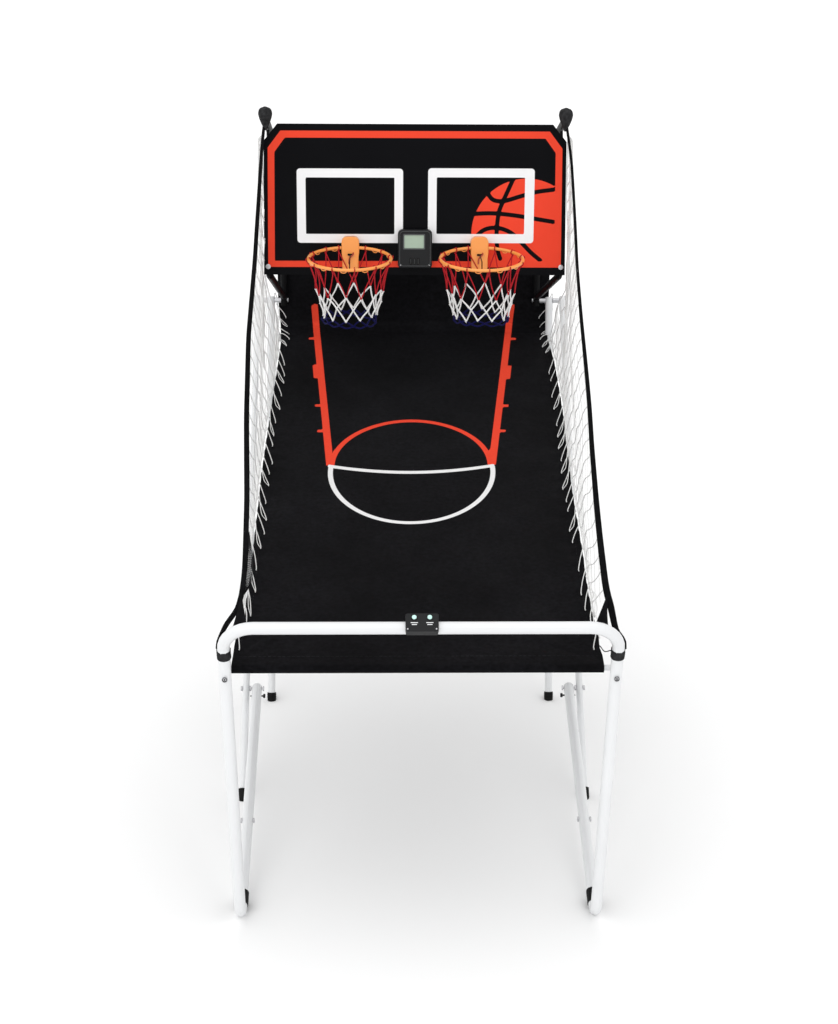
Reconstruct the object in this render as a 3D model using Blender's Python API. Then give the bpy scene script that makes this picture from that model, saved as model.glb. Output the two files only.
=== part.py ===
"""Foldable two-hoop indoor basketball machine.

Units are metres, +Z is up, +X is the player's right and +Y runs from the player to the rear.
The origin is on the floor, under the middle of the machine.
"""
import math

import bmesh
import bpy
from mathutils import Matrix, Vector

# ---------------------------------------------------------------- driving dimensions
GAP = 0.0003                # clearance between touching pieces
CENTRE_Y = 0.8202           # from the front feet back to the middle of the machine
SIDES = 16                  # facets round a tube

MAIN_R = 0.016              # 32 mm front frame tube
STRUT_R = 0.011             # 22 mm strut tube and arm tube
REAR_R = 0.0127             # 25.4 mm rear leg tube
CAP_R = 0.0155              # rubber feet
BAR_COUPLER_R = 0.0167
FOOT_COUPLER_R = 0.0182

FOOT_X = 0.4874             # half spacing of the front and the rear feet
BAR_X = 0.501               # half spacing of the front bar's ends
PIVOT_X = 0.4996            # half spacing of the brace arms at the fold pivots
STRUT_X = 0.5341            # half spacing of the struts
ARM_X = 0.442               # half spacing of the arms that carry the backboard

# side view, (distance behind the front feet, height)
FOOT_CORNER = (-0.033, 0.0045)
COUPLER = (-0.122, 0.8335)
BAR = (-0.1625, 0.9209)
HEM = (-0.0753, 0.7726)
STRUT_FOOT = (0.663, 0.0)
REAR_FOOT = (1.384, 0.0)
REAR_JOINT = (1.815, 1.335)
REAR_BAR = (1.775, 1.211)
ARM_TIP = (1.040, 2.040)
ARM_SLOPE = math.radians(17.0)
PIVOT_FRACTION = 0.2014     # the fold pivot's place along the strut, from its foot

FOOT_BEND = 0.040           # centre-line bend radii
BAR_BEND = 0.078
ARM_BEND = 0.080

# backboard
BOARD_W, BOARD_H, BOARD_T = 0.9134, 0.4475, 0.012
BOARD_FOOT = (1.040, 1.5772)
BOARD_LEAN = math.radians(4.0)
BOARD_DRAW = 0.005          # how far each side draws in towards the top
CHAMFER_W, CHAMFER_H = 0.041, 0.050
BOARD_BOLT_UV = (0.444, 0.0245)

# hoops
HOOP_X, HOOP_Y, HOOP_Z = 0.1945, 0.8966, 1.6533
HOOP_R, HOOP_WIRE = 0.1218, 0.0048
HOOP_DROOP = math.radians(5.3)          # the hoops hang lower at the front
BRACKET_W, BRACKET_DEPTH = 0.053, 0.036
BRACKET_V = (0.021, 0.118)
BRACKET_STEM_W = 0.049                  # narrower below the shoulders
BRACKET_SHOULDER_V = (0.055, 0.070)
NET_TOP_Z, NET_BOTTOM_Z = 1.634, 1.466
NET_TOP_R, NET_BOTTOM_R, NET_T = 0.108, 0.0825, 0.002
TRIGGER_PIVOT = (1.0050, 1.645)
TRIGGER_WIRE = 0.0016

# scoreboard and control box
SCORE_W, SCORE_T, SCORE_V = 0.103, 0.030, (0.024, 0.139)
LENS_W, LENS_V, LENS_T = 0.060, (0.0835, 0.1235), 0.003
LENS_U = -0.003
BOX_W, BOX_DEPTH, BOX_TILT = 0.083, 0.028, math.radians(45.0)
BOX_FACE, BOX_UP, BOX_DOWN = 0.024, 0.030, 0.0186
BUTTON_X, BUTTON_UP, BUTTON_R = 0.0194, 0.0192, 0.0059
BUTTON_H, BUTTON_OUT, BUTTON_POCKET = 0.008, 0.0025, 0.0095

# soft goods
RAMP_HALF, CLOTH_T = 0.465, 0.004
SIDE_NET_X, SIDE_NET_T = 0.4695, 0.002
BACK_PANEL_HALF, BACK_PANEL_Y = 0.4738, 1.8288
BACK_PANEL_Z = (1.225, 1.52)
POCKET_R, POCKET_H = 0.020, 0.0315

HEM_R = 0.008
LOCK_PIN_R = 0.0026
BOLT_R = 0.004
BORE_R = 0.0043
HEAD_R = 0.0078
SPACER_R = 0.009

COLOURS = {
    "white_paint": ((0.86, 0.87, 0.88, 1.0), 0.32, 0.0),
    "black_paint": ((0.015, 0.015, 0.017, 1.0), 0.38, 0.0),
    "dark_plastic": ((0.045, 0.045, 0.048, 1.0), 0.45, 0.0),
    "black_rubber": ((0.018, 0.018, 0.018, 1.0), 0.75, 0.0),
    "board_laminate": ((0.012, 0.012, 0.014, 1.0), 0.25, 0.0),
    "orange_paint": ((0.91, 0.33, 0.06, 1.0), 0.35, 0.0),
    "net_cord": ((0.75, 0.70, 0.72, 1.0), 0.85, 0.0),
    "black_fabric": ((0.014, 0.014, 0.016, 1.0), 0.85, 0.0),
    "zinc_steel": ((0.62, 0.62, 0.63, 1.0), 0.30, 1.0),
    "lens": ((0.40, 0.53, 0.41, 1.0), 0.25, 0.0),
    "button_plastic": ((0.70, 0.88, 0.82, 1.0), 0.40, 0.0),
}


# ---------------------------------------------------------------- helpers
def clear_scene():
    for obj in list(bpy.data.objects):
        bpy.data.objects.remove(obj, do_unlink=True)


def material(key):
    found = bpy.data.materials.get(key)
    if found:
        return found
    colour, rough, metal = COLOURS[key]
    mat = bpy.data.materials.new(key)
    mat.use_nodes = True
    shader = mat.node_tree.nodes["Principled BSDF"]
    shader.inputs["Base Color"].default_value = colour
    shader.inputs["Roughness"].default_value = rough
    shader.inputs["Metallic"].default_value = metal
    mat.diffuse_color = colour
    return mat


def at(x, side):
    """A point from its X and its side-view place (distance behind the front feet, height)."""
    return Vector((x, side[0] - CENTRE_Y, side[1]))


def board_point(u, v, w):
    """A point on the leaning backboard: u to the right, v up its face, w out towards the player."""
    foot = at(0.0, BOARD_FOOT)
    up = Vector((0.0, math.sin(BOARD_LEAN), math.cos(BOARD_LEAN)))
    out = Vector((0.0, -math.cos(BOARD_LEAN), math.sin(BOARD_LEAN)))
    return foot + Vector((u, 0.0, 0.0)) + up * v + out * w


def board_axes():
    up = Vector((0.0, math.sin(BOARD_LEAN), math.cos(BOARD_LEAN)))
    out = Vector((0.0, -math.cos(BOARD_LEAN), math.sin(BOARD_LEAN)))
    return Vector((1.0, 0.0, 0.0)), up, out


def box_axes():
    """The control box's own axes: across, up its face, and out of its face."""
    up = Vector((0.0, math.sin(BOX_TILT), math.cos(BOX_TILT)))
    out = Vector((0.0, -math.cos(BOX_TILT), math.sin(BOX_TILT)))
    return Vector((1.0, 0.0, 0.0)), up, out


def add_object(name, bm, mat_key, origin=None, smooth=True):
    """Make an object from a bmesh in world coordinates, with its origin at the given point."""
    bmesh.ops.recalc_face_normals(bm, faces=bm.faces)
    mesh = bpy.data.meshes.new(name)
    if origin is not None:
        bmesh.ops.translate(bm, vec=-origin, verts=bm.verts)
    bm.to_mesh(mesh)
    bm.free()
    mesh.materials.append(material(mat_key))
    obj = bpy.data.objects.new(name, mesh)
    bpy.context.scene.collection.objects.link(obj)
    if origin is not None:
        obj.location = origin
    if smooth:
        mesh.shade_smooth()
        mesh.set_sharp_from_angle(angle=math.radians(40.0))
    return obj


def rounded_path(points, radius, steps=6):
    """A polyline with each inner corner replaced by an arc of the given radius."""
    path = [points[0]]
    for before, corner, after in zip(points, points[1:], points[2:]):
        back = (before - corner).normalized()
        ahead = (after - corner).normalized()
        half = back.angle(ahead) / 2
        reach = radius / math.tan(half)
        middle = corner + (back + ahead).normalized() * (radius / math.sin(half))
        start = corner + back * reach - middle
        end = corner + ahead * reach - middle
        turn = start.angle(end)
        for k in range(steps + 1):
            part = k / steps
            spoke = (start * math.sin((1 - part) * turn) + end * math.sin(part * turn)) / math.sin(turn)
            path.append(middle + spoke)
    path.append(points[-1])
    return path


def sweep_mesh(path, radius, sides=SIDES, across=Vector((1.0, 0.0, 0.0))):
    """A solid round bar along a path. A radius may be a number or one number per point."""
    bm = bmesh.new()
    radii = radius if isinstance(radius, (list, tuple)) else [radius] * len(path)
    rings = []
    side = across
    for i, point in enumerate(path):
        ahead = path[min(i + 1, len(path) - 1)] - point
        back = point - path[max(i - 1, 0)]
        tangent = (ahead.normalized() + back.normalized()).normalized()
        side = (side - tangent * side.dot(tangent)).normalized()
        other = tangent.cross(side)
        ring = []
        for k in range(sides):
            angle = 2 * math.pi * k / sides
            spoke = side * math.cos(angle) + other * math.sin(angle)
            ring.append(bm.verts.new(point + spoke * radii[i]))
        rings.append(ring)
    for lower, upper in zip(rings, rings[1:]):
        for k in range(sides):
            nxt = (k + 1) % sides
            bm.faces.new((lower[k], lower[nxt], upper[nxt], upper[k]))
    bm.faces.new(list(reversed(rings[0])))
    bm.faces.new(rings[-1])
    return bm


def bar(name, path, radius, mat_key, origin=None, sides=SIDES, across=Vector((1.0, 0.0, 0.0))):
    return add_object(name, sweep_mesh(path, radius, sides, across), mat_key, origin)


def turned(name, start, axis, profile, mat_key, origin=None, sides=SIDES):
    """A turned piece: the profile is a list of (distance along the axis, radius) steps."""
    path = [start + axis * step[0] for step in profile]
    radii = [step[1] for step in profile]
    across = Vector((0.0, 0.0, 1.0)) if abs(axis.z) < 0.9 else Vector((1.0, 0.0, 0.0))
    bm = bmesh.new()
    side = (across - axis * across.dot(axis)).normalized()
    other = axis.cross(side)
    rings = []
    for point, radius in zip(path, radii):
        angles = [2 * math.pi * k / sides for k in range(sides)]
        rings.append([bm.verts.new(point + (side * math.cos(a) + other * math.sin(a)) * radius)
                      for a in angles])
    for lower, upper in zip(rings, rings[1:]):
        for k in range(sides):
            nxt = (k + 1) % sides
            bm.faces.new((lower[k], lower[nxt], upper[nxt], upper[k]))
    bm.faces.new(list(reversed(rings[0])))
    bm.faces.new(rings[-1])
    return add_object(name, bm, mat_key, origin)


def block_mesh(centre, axes, size):
    bm = bmesh.new()
    bmesh.ops.create_cube(bm, size=1.0)
    matrix = Matrix((axes[0], axes[1], axes[2])).transposed()
    for vert in bm.verts:
        local = Vector((vert.co.x * size[0], vert.co.y * size[1], vert.co.z * size[2]))
        vert.co = centre + matrix @ local
    return bm


def prism_mesh(outline, depth):
    """A flat plate: the outline is a loop of points, and depth is the vector through it."""
    bm = bmesh.new()
    near = [bm.verts.new(p) for p in outline]
    far = [bm.verts.new(p + depth) for p in outline]
    bm.faces.new(near)
    bm.faces.new(list(reversed(far)))
    for k in range(len(near)):
        nxt = (k + 1) % len(near)
        bm.faces.new((near[nxt], near[k], far[k], far[nxt]))
    return bm


def rounded_outline(width, height, radii, steps=4):
    """Corners of a rounded rectangle on (0, 0) to (width, height), anticlockwise from lower left."""
    corners = [(0, 0, 180), (width, 0, 270), (width, height, 0), (0, height, 90)]
    points = []
    for (cx, cy, start), radius in zip(corners, radii):
        inward_x = radius if cx == 0 else -radius
        inward_y = radius if cy == 0 else -radius
        if radius == 0:
            points.append((cx, cy))
            continue
        for k in range(steps + 1):
            angle = math.radians(start + 90 * k / steps)
            points.append((cx + inward_x + radius * math.cos(angle),
                           cy + inward_y + radius * math.sin(angle)))
    return points


def hide_cutter(cutter):
    cutter.hide_render = True
    cutter.display_type = "WIRE"


def boolean(target, cutter, operation="DIFFERENCE"):
    modifier = target.modifiers.new(operation.title(), "BOOLEAN")
    modifier.operation = operation
    modifier.solver = "EXACT"
    modifier.object = cutter
    hide_cutter(cutter)


def bore(target, start, end, radius, sides=12):
    """Drill a round hole through a piece, between two points."""
    cutter = bar("cut_" + target.name, [start, end], radius, "dark_plastic", sides=sides,
                 across=Vector((0.0, 0.0, 1.0)) if abs((end - start).x) > 1e-6 else Vector((1.0, 0.0, 0.0)))
    boolean(target, cutter)


def put_under(parent, *objects):
    """Parent objects to an empty without moving them."""
    bpy.context.view_layer.update()
    for obj in objects:
        obj.parent = parent
        obj.matrix_parent_inverse = parent.matrix_world.inverted()


def trim_below_floor(bm):
    geometry = list(bm.verts) + list(bm.edges) + list(bm.faces)
    cut = bmesh.ops.bisect_plane(bm, geom=geometry, plane_co=(0, 0, 0), plane_no=(0, 0, -1),
                                 clear_outer=True)
    edges = [item for item in cut["geom_cut"] if isinstance(item, bmesh.types.BMEdge)]
    bmesh.ops.contextual_create(bm, geom=edges)


def along(start, end, distance):
    return start + (end - start).normalized() * distance


# ---------------------------------------------------------------- rear stand
def pivot_point(x):
    foot, top = at(x, STRUT_FOOT), at(x, REAR_JOINT)
    return foot.lerp(top, PIVOT_FRACTION)


def leg_with_foot(leg_name, foot_name, foot, top, radius, cap_length, beyond):
    """A straight leg that stops on a rubber foot, whose sole is flat on the floor."""
    cap_end = along(foot, top, cap_length)
    below = along(foot, top, -2 * CAP_R)
    cap = sweep_mesh([below, cap_end], CAP_R)
    trim_below_floor(cap)
    add_object(foot_name, cap, "black_rubber")
    return bar(leg_name, [along(cap_end, top, GAP), top + (top - foot).normalized() * beyond],
               radius, "white_paint")


def make_stand_side(side, sign):
    reach = Vector((sign, 0.0, 0.0))
    strut = leg_with_foot("strut_" + side, "strut_foot_" + side, at(sign * STRUT_X, STRUT_FOOT),
                          at(sign * STRUT_X, REAR_JOINT), STRUT_R, 0.030, 0.014)
    rear = leg_with_foot("rear_leg_" + side, "rear_foot_" + side, at(sign * FOOT_X, REAR_FOOT),
                         at(sign * FOOT_X, REAR_JOINT), REAR_R, 0.026, 0.012)
    for leg, x, place in ((strut, STRUT_X, pivot_point(0.0)), (strut, STRUT_X, at(0.0, REAR_JOINT)),
                          (rear, FOOT_X, at(0.0, REAR_JOINT))):
        inner = place + reach * (x - 0.02)
        bore(leg, inner, inner + reach * 0.04, BORE_R)

    # bent arm: up from the rear joint, then forward to its tip over the backboard
    tip = at(sign * ARM_X, ARM_TIP)
    corner_z = ARM_TIP[1] - (REAR_JOINT[0] - ARM_TIP[0]) * math.tan(ARM_SLOPE)
    corner = at(sign * ARM_X, (REAR_JOINT[0], corner_z))
    low = at(sign * ARM_X, (REAR_JOINT[0], REAR_JOINT[1] - 0.018))
    arm = bar("upper_arm_" + side, rounded_path([low, corner, tip], ARM_BEND), STRUT_R, "black_paint")
    inner = at(sign * (ARM_X - 0.02), REAR_JOINT)
    bore(arm, inner, inner + reach * 0.04, BORE_R)

    # lower arm: forward to the backboard, then up its back, with a hole for the board's bolt
    behind = -(BOARD_T + STRUT_R + 2 * GAP)
    start = at(sign * ARM_X, (REAR_JOINT[0] - STRUT_R - 0.005, REAR_JOINT[1] + 0.016))
    elbow = board_point(sign * ARM_X, -0.004, behind)
    top = board_point(sign * ARM_X, 0.085, behind)
    lower = bar("lower_arm_" + side, rounded_path([start, elbow, top], 0.022, 4), STRUT_R, "black_paint")
    u, v = BOARD_BOLT_UV
    bore(lower, board_point(sign * u, v, -BOARD_T), board_point(sign * u, v, -0.05), BORE_R)

    # hanger rod: from the underside of the arm to the back of the board
    hang = rounded_path([board_point(sign * (ARM_X - 0.004), 0.300, -(BOARD_T + 0.0056)),
                         board_point(sign * (ARM_X - 0.004), 0.385, -(BOARD_T + 0.0056)),
                         at(sign * ARM_X, (1.135, 1.9945))], 0.014, 3)
    bar("board_hanger_" + side, hang, 0.005, "black_paint", sides=10)

    # bolt through the arm, the rear leg and the strut, with its spacer
    inner_face = ARM_X - STRUT_R - 0.004
    joint = [(0.0, HEAD_R), (0.004 - GAP, HEAD_R), (0.004 - GAP, BOLT_R)]
    for start, end in ((ARM_X + STRUT_R, FOOT_X - REAR_R), (FOOT_X + REAR_R, STRUT_X - STRUT_R)):
        start += GAP - inner_face
        end -= GAP + inner_face
        joint += [(start, BOLT_R), (start, SPACER_R), (end, SPACER_R), (end, BOLT_R)]
    out_face = STRUT_X + STRUT_R + GAP - inner_face
    joint += [(out_face, BOLT_R), (out_face, HEAD_R), (out_face + 0.0057, HEAD_R)]
    turned("rear_joint_bolt_" + side, at(sign * inner_face, REAR_JOINT), reach, joint, "zinc_steel", sides=12)

    # bolt that the brace arm folds on
    inner_face = PIVOT_X - MAIN_R - 0.0065
    collar_in = PIVOT_X + MAIN_R + 0.0026 - inner_face
    collar_out = STRUT_X - STRUT_R - GAP - inner_face
    out_face = STRUT_X + STRUT_R + GAP - inner_face
    pivot = [(0.0, HEAD_R), (0.0036, HEAD_R), (0.0036, BOLT_R), (collar_in, BOLT_R),
             (collar_in, SPACER_R), (collar_out, SPACER_R), (collar_out, BOLT_R), (out_face, BOLT_R),
             (out_face, HEAD_R), (out_face + 0.0055, HEAD_R)]
    turned("fold_pivot_bolt_" + side, pivot_point(sign * inner_face), reach, pivot, "zinc_steel", sides=12)

    # net pocket over the arm's tip: a drop-shaped pouch that hangs to a point
    forward = Vector((0.0, -math.cos(ARM_SLOPE), math.sin(ARM_SLOPE)))
    hang_from = tip + forward * (POCKET_R + GAP)
    profile = [(-POCKET_H, 0.010), (-0.75 * POCKET_H, 0.30), (-0.2 * POCKET_H, 0.78), (0.2 * POCKET_H, 0.97),
               (0.45 * POCKET_H, 0.95), (0.75 * POCKET_H, 0.72), (0.95 * POCKET_H, 0.30)]
    heights = [(step[0] + POCKET_H, max(step[1] * POCKET_R, 0.002)) for step in profile]
    turned("net_pocket_" + side, hang_from + Vector((0.0, -0.0005, -POCKET_H)),
           Vector((0.0, 0.0, 1.0)), heights, "black_fabric", sides=12)


def make_rear_bars():
    inner = FOOT_X - REAR_R - GAP
    bar("rear_crossbar", [at(-inner, REAR_BAR), at(inner, REAR_BAR)], STRUT_R, "white_paint",
        across=Vector((0.0, 0.0, 1.0)))


# ---------------------------------------------------------------- backboard and hoops
def make_backboard():
    half = BOARD_W / 2
    shoulder = half - BOARD_DRAW
    top = shoulder - CHAMFER_W
    outline = [(-half, 0.0), (half, 0.0), (shoulder, BOARD_H - CHAMFER_H), (top, BOARD_H),
               (-top, BOARD_H), (-shoulder, BOARD_H - CHAMFER_H)]
    points = [board_point(u, v, 0.0) for u, v in outline]
    plate = add_object("backboard", prism_mesh(points, board_axes()[2] * -BOARD_T), "board_laminate",
                       smooth=False)
    u, v = BOARD_BOLT_UV
    for side, sign in (("left", -1), ("right", 1)):
        bore(plate, board_point(sign * u, v, 0.01), board_point(sign * u, v, -BOARD_T - 0.01), BORE_R)
        length = BOARD_T + 2 * STRUT_R + 0.003
        steps = [(-0.003, HEAD_R * 0.5), (-0.0022, HEAD_R), (-GAP, HEAD_R), (-GAP, BOLT_R), (length, BOLT_R)]
        turned("board_bolt_" + side, board_point(sign * u, v, 0.0), -board_axes()[2], steps,
               "zinc_steel", sides=12)


def make_scoreboard():
    height = SCORE_V[1] - SCORE_V[0]
    outline = [board_point(x - SCORE_W / 2, SCORE_V[0] + y, GAP)
               for x, y in rounded_outline(SCORE_W, height, (0.010, 0.010, 0.014, 0.014))]
    case = add_object("scoreboard_case", prism_mesh(outline, board_axes()[2] * SCORE_T), "dark_plastic")
    bevel = case.modifiers.new("Bevel", "BEVEL")
    bevel.width = 0.003
    bevel.segments = 2
    bevel.limit_method = "ANGLE"
    centre = board_point(LENS_U, sum(LENS_V) / 2, GAP + SCORE_T)
    size = (LENS_W, LENS_V[1] - LENS_V[0])
    pocket = block_mesh(centre, board_axes(), (size[0] + 2 * GAP, size[1] + 2 * GAP, 2 * (LENS_T + GAP)))
    boolean(case, add_object("cut_lens_pocket", pocket, "lens", smooth=False))
    middle = centre - board_axes()[2] * (LENS_T / 2 + 0.0004)
    lens = block_mesh(middle, board_axes(), (*size, LENS_T - 0.0006))
    add_object("scoreboard_lens", lens, "lens", smooth=False)


def make_hoop(side, sign):
    x = sign * HOOP_X
    low, high = BRACKET_SHOULDER_V
    crown = [(px - BRACKET_W / 2, high + py)
             for px, py in rounded_outline(BRACKET_W, BRACKET_V[1] - high, (0.0, 0.0, 0.016, 0.016))]
    stem = BRACKET_STEM_W / 2
    foot = [(-stem, low), (-stem, BRACKET_V[0] + 0.003), (-stem + 0.003, BRACKET_V[0]),
            (stem - 0.003, BRACKET_V[0]), (stem, BRACKET_V[0] + 0.003), (stem, low)]
    outline = [board_point(x + u, v, GAP) for u, v in foot + crown[1:] + crown[:1]]
    plate = add_object("hoop_bracket_" + side, prism_mesh(outline, board_axes()[2] * BRACKET_DEPTH),
                       "orange_paint")
    bevel = plate.modifiers.new("Bevel", "BEVEL")
    bevel.width = 0.0025
    bevel.segments = 2
    bevel.limit_method = "ANGLE"

    # the ring's wire runs from one cheek of the bracket round to the other
    centre = at(x, (HOOP_Y, HOOP_Z))
    opening = math.asin((BRACKET_W / 2 + HOOP_WIRE + GAP) / HOOP_R)
    steps = 40
    path = []
    for k in range(steps + 1):
        angle = math.pi / 2 + opening + (2 * math.pi - 2 * opening) * k / steps
        rear = Vector((0.0, math.cos(HOOP_DROOP), math.sin(HOOP_DROOP)))
        path.append(centre + (Vector((math.cos(angle), 0.0, 0.0)) + rear * math.sin(angle)) * HOOP_R)
    stub = BRACKET_W / 2 + GAP
    path = [Vector((x - stub, *path[0].yz))] + path + [Vector((x + stub, *path[-1].yz))]
    bar("hoop_" + side, path, HOOP_WIRE, "orange_paint", sides=10, across=Vector((0.0, 0.0, 1.0)))

    # the hanging net as one thin open sleeve
    rows = 4
    sides = 24
    bm = bmesh.new()
    shells = []
    for inset in (0.0, NET_T):
        rings = []
        for k in range(rows + 1):
            part = k / rows
            radius = NET_TOP_R + (NET_BOTTOM_R - NET_TOP_R) * part ** 0.8 - inset
            z = NET_TOP_Z + (NET_BOTTOM_Z - NET_TOP_Z) * part
            rings.append([bm.verts.new(at(x + radius * math.cos(2 * math.pi * j / sides),
                                          (HOOP_Y + radius * math.sin(2 * math.pi * j / sides), z)))
                          for j in range(sides)])
        shells.append(rings)
    for shell in shells:
        for upper, lower in zip(shell, shell[1:]):
            for j in range(sides):
                nxt = (j + 1) % sides
                bm.faces.new((upper[j], upper[nxt], lower[nxt], lower[j]))
    for end in (0, rows):
        outer, inner = shells[0][end], shells[1][end]
        for j in range(sides):
            nxt = (j + 1) % sides
            bm.faces.new((outer[j], outer[nxt], inner[nxt], inner[j]))
    add_object("hoop_net_" + side, bm, "net_cord")


def make_trigger(side, sign):
    """Wire lever that a scoring ball pushes down, on its pin at the foot of the bracket."""
    x = sign * HOOP_X
    pivot = at(x, TRIGGER_PIVOT)
    wire = rounded_path([at(x, (TRIGGER_PIVOT[0] - 0.001, TRIGGER_PIVOT[1])), at(x, (0.880, 1.649)),
                         at(x, (0.868, 1.612))], 0.010, 4)
    lever = bar("score_trigger_" + side, wire, TRIGGER_WIRE, "black_paint", origin=pivot, sides=8)
    pin = bar("cut_trigger_pin_" + side, [pivot - Vector((0.008, 0, 0)), pivot + Vector((0.008, 0, 0))],
              0.003, "black_paint", sides=10, across=Vector((0.0, 0.0, 1.0)))
    boolean(lever, pin, "UNION")
    return lever


# ---------------------------------------------------------------- soft goods
def make_soft_goods():
    start, end = at(0.0, HEM), at(0.0, REAR_BAR)
    front = along(start, end, HEM_R + 2 * GAP)
    back = along(end, start, STRUT_R + 2 * GAP)
    slope = (end - start).normalized()
    normal = Vector((1.0, 0.0, 0.0)).cross(slope)
    side = Vector((RAMP_HALF, 0.0, 0.0))
    low = [front - side, front + side, back + side, back - side]
    ramp = prism_mesh([p - normal * CLOTH_T / 2 for p in low], normal * CLOTH_T)
    add_object("ramp_fabric", ramp, "black_fabric", smooth=False)

    corners = [(-BACK_PANEL_HALF, BACK_PANEL_Z[0]), (BACK_PANEL_HALF, BACK_PANEL_Z[0]),
               (BACK_PANEL_HALF, BACK_PANEL_Z[1]), (-BACK_PANEL_HALF, BACK_PANEL_Z[1])]
    panel = [at(x, (BACK_PANEL_Y + CLOTH_T / 2, z)) for x, z in corners]
    add_object("back_panel", prism_mesh(panel, Vector((0.0, -CLOTH_T, 0.0))), "black_fabric", smooth=False)

    # side net: laced to the ramp's edge below, and hung from the arm's tip above
    lift = normal * (CLOTH_T / 2 + 0.004)
    board_side = board_point(0.0, 0.02, 0.0)
    outline = [front + lift, back + lift, board_side, at(0.0, (1.012, 2.001)), at(0.0, (-0.085, 0.868))]
    for name, sign in (("side_net_left", -1), ("side_net_right", 1)):
        inner = sign * (SIDE_NET_X - SIDE_NET_T / 2)
        points = [p + Vector((inner, 0.0, 0.0)) for p in outline]
        add_object(name, prism_mesh(points, Vector((sign * SIDE_NET_T, 0.0, 0.0))), "net_cord", smooth=False)


# ---------------------------------------------------------------- front frame
def lock_pin_place(sign):
    """Where the lock pin crosses the arm's plane, and the direction from the pivot towards it."""
    pivot = pivot_point(sign * PIVOT_X)
    run = (pivot - at(sign * FOOT_X, FOOT_CORNER)).normalized()
    down = run.cross(Vector((1.0, 0.0, 0.0))).normalized()
    return pivot - run * 0.006 + down * 0.0265, down


def make_front_side(side, sign):
    """One side's front leg, its brace arm and their couplers, all on the folding front frame."""
    foot = at(sign * FOOT_X, FOOT_CORNER)
    joint = at(sign * BAR_X, COUPLER)
    pivot = pivot_point(sign * PIVOT_X)
    bar_side = at(sign * BAR_X, BAR)
    half = 0.014

    tail = FOOT_BEND / math.tan((joint - foot).angle(pivot - foot) / 2) + 0.002
    coupler_end = tail + 0.046
    leg_top = along(joint, foot, half + GAP)
    path = rounded_path([leg_top, foot, along(foot, pivot, tail)], FOOT_BEND)
    leg = bar("front_leg_" + side, path, MAIN_R, "white_paint")
    sleeve = [along(foot, pivot, tail + GAP), along(foot, pivot, coupler_end)]
    bar("foot_coupler_" + side, sleeve, FOOT_COUPLER_R, "black_rubber")
    cap_start = (pivot - foot).length - 0.026
    arm = [along(foot, pivot, coupler_end + GAP), along(foot, pivot, cap_start)]
    brace = bar("brace_arm_" + side, arm, MAIN_R, "white_paint")

    # pale end cap of the arm, with the pivot's hole through it
    run = (pivot - foot).normalized()
    cap_path = [pivot - run * (0.026 - GAP), pivot + run * 0.006, pivot + run * 0.011,
                pivot + run * 0.014]
    cap = bar("hinge_cap_" + side, cap_path,
              [MAIN_R + 0.0002, MAIN_R + 0.0002, MAIN_R - 0.0022, MAIN_R - 0.007], "white_paint")
    reach = Vector((sign, 0.0, 0.0))
    lug, nose_side = lock_pin_place(sign)
    block = block_mesh(lug - nose_side * 0.010, (reach, run, nose_side), (0.014, 0.014, 0.033))
    boolean(cap, add_object("cut_lug_" + side, block, "white_paint", smooth=False), "UNION")
    bore(cap, pivot - reach * 0.03, pivot + reach * 0.03, BORE_R + 0.0002)
    pin_hole = bar("cut_pin_" + side, [lug - reach * 0.03, lug + reach * 0.03], LOCK_PIN_R + GAP,
                   "dark_plastic", sides=12, across=Vector((0.0, 0.0, 1.0)))
    boolean(cap, pin_hole)

    # joint between the leg and the front bar
    elbow = [along(joint, foot, half), joint, along(joint, bar_side, half)]
    bar("bar_coupler_" + side, elbow, BAR_COUPLER_R, "dark_plastic")

    # bolt through the leg, with the spacer that holds the hem rod off it
    rod = at(foot.lerp(joint, 0.927).x, HEM)
    run = (joint - foot).normalized()
    place = foot + run * (rod - foot).dot(run)
    back = (rod - place).normalized()
    bore(leg, place - back * 0.03, place + back * 0.03, BORE_R)
    spacer = (rod - place).length - HEM_R - GAP
    steps = [(-MAIN_R - 0.0045, HEAD_R * 0.6), (-MAIN_R - 0.0035, HEAD_R), (-MAIN_R - GAP, HEAD_R),
             (-MAIN_R - GAP, BOLT_R), (MAIN_R + GAP, BOLT_R), (MAIN_R + GAP, 0.006), (spacer, 0.006)]
    turned("hem_bolt_" + side, place, back, steps, "zinc_steel", sides=12)

    # bolt half way up the brace arm
    middle = along(foot, pivot, 0.39 * (pivot - foot).length)
    bore(brace, middle - reach * 0.03, middle + reach * 0.03, BORE_R)
    steps = [(-MAIN_R - 0.0045, HEAD_R * 0.6), (-MAIN_R - 0.0035, HEAD_R), (-MAIN_R - GAP, HEAD_R),
             (-MAIN_R - GAP, BOLT_R), (MAIN_R + GAP, BOLT_R), (MAIN_R + GAP, HEAD_R),
             (MAIN_R + 0.0045, HEAD_R)]
    turned("brace_bolt_" + side, middle, reach, steps, "zinc_steel", sides=12)
    return [bpy.data.objects[stem + side] for stem in
            ("front_leg_", "foot_coupler_", "brace_arm_", "hinge_cap_", "bar_coupler_", "hem_bolt_",
             "brace_bolt_")]


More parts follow.
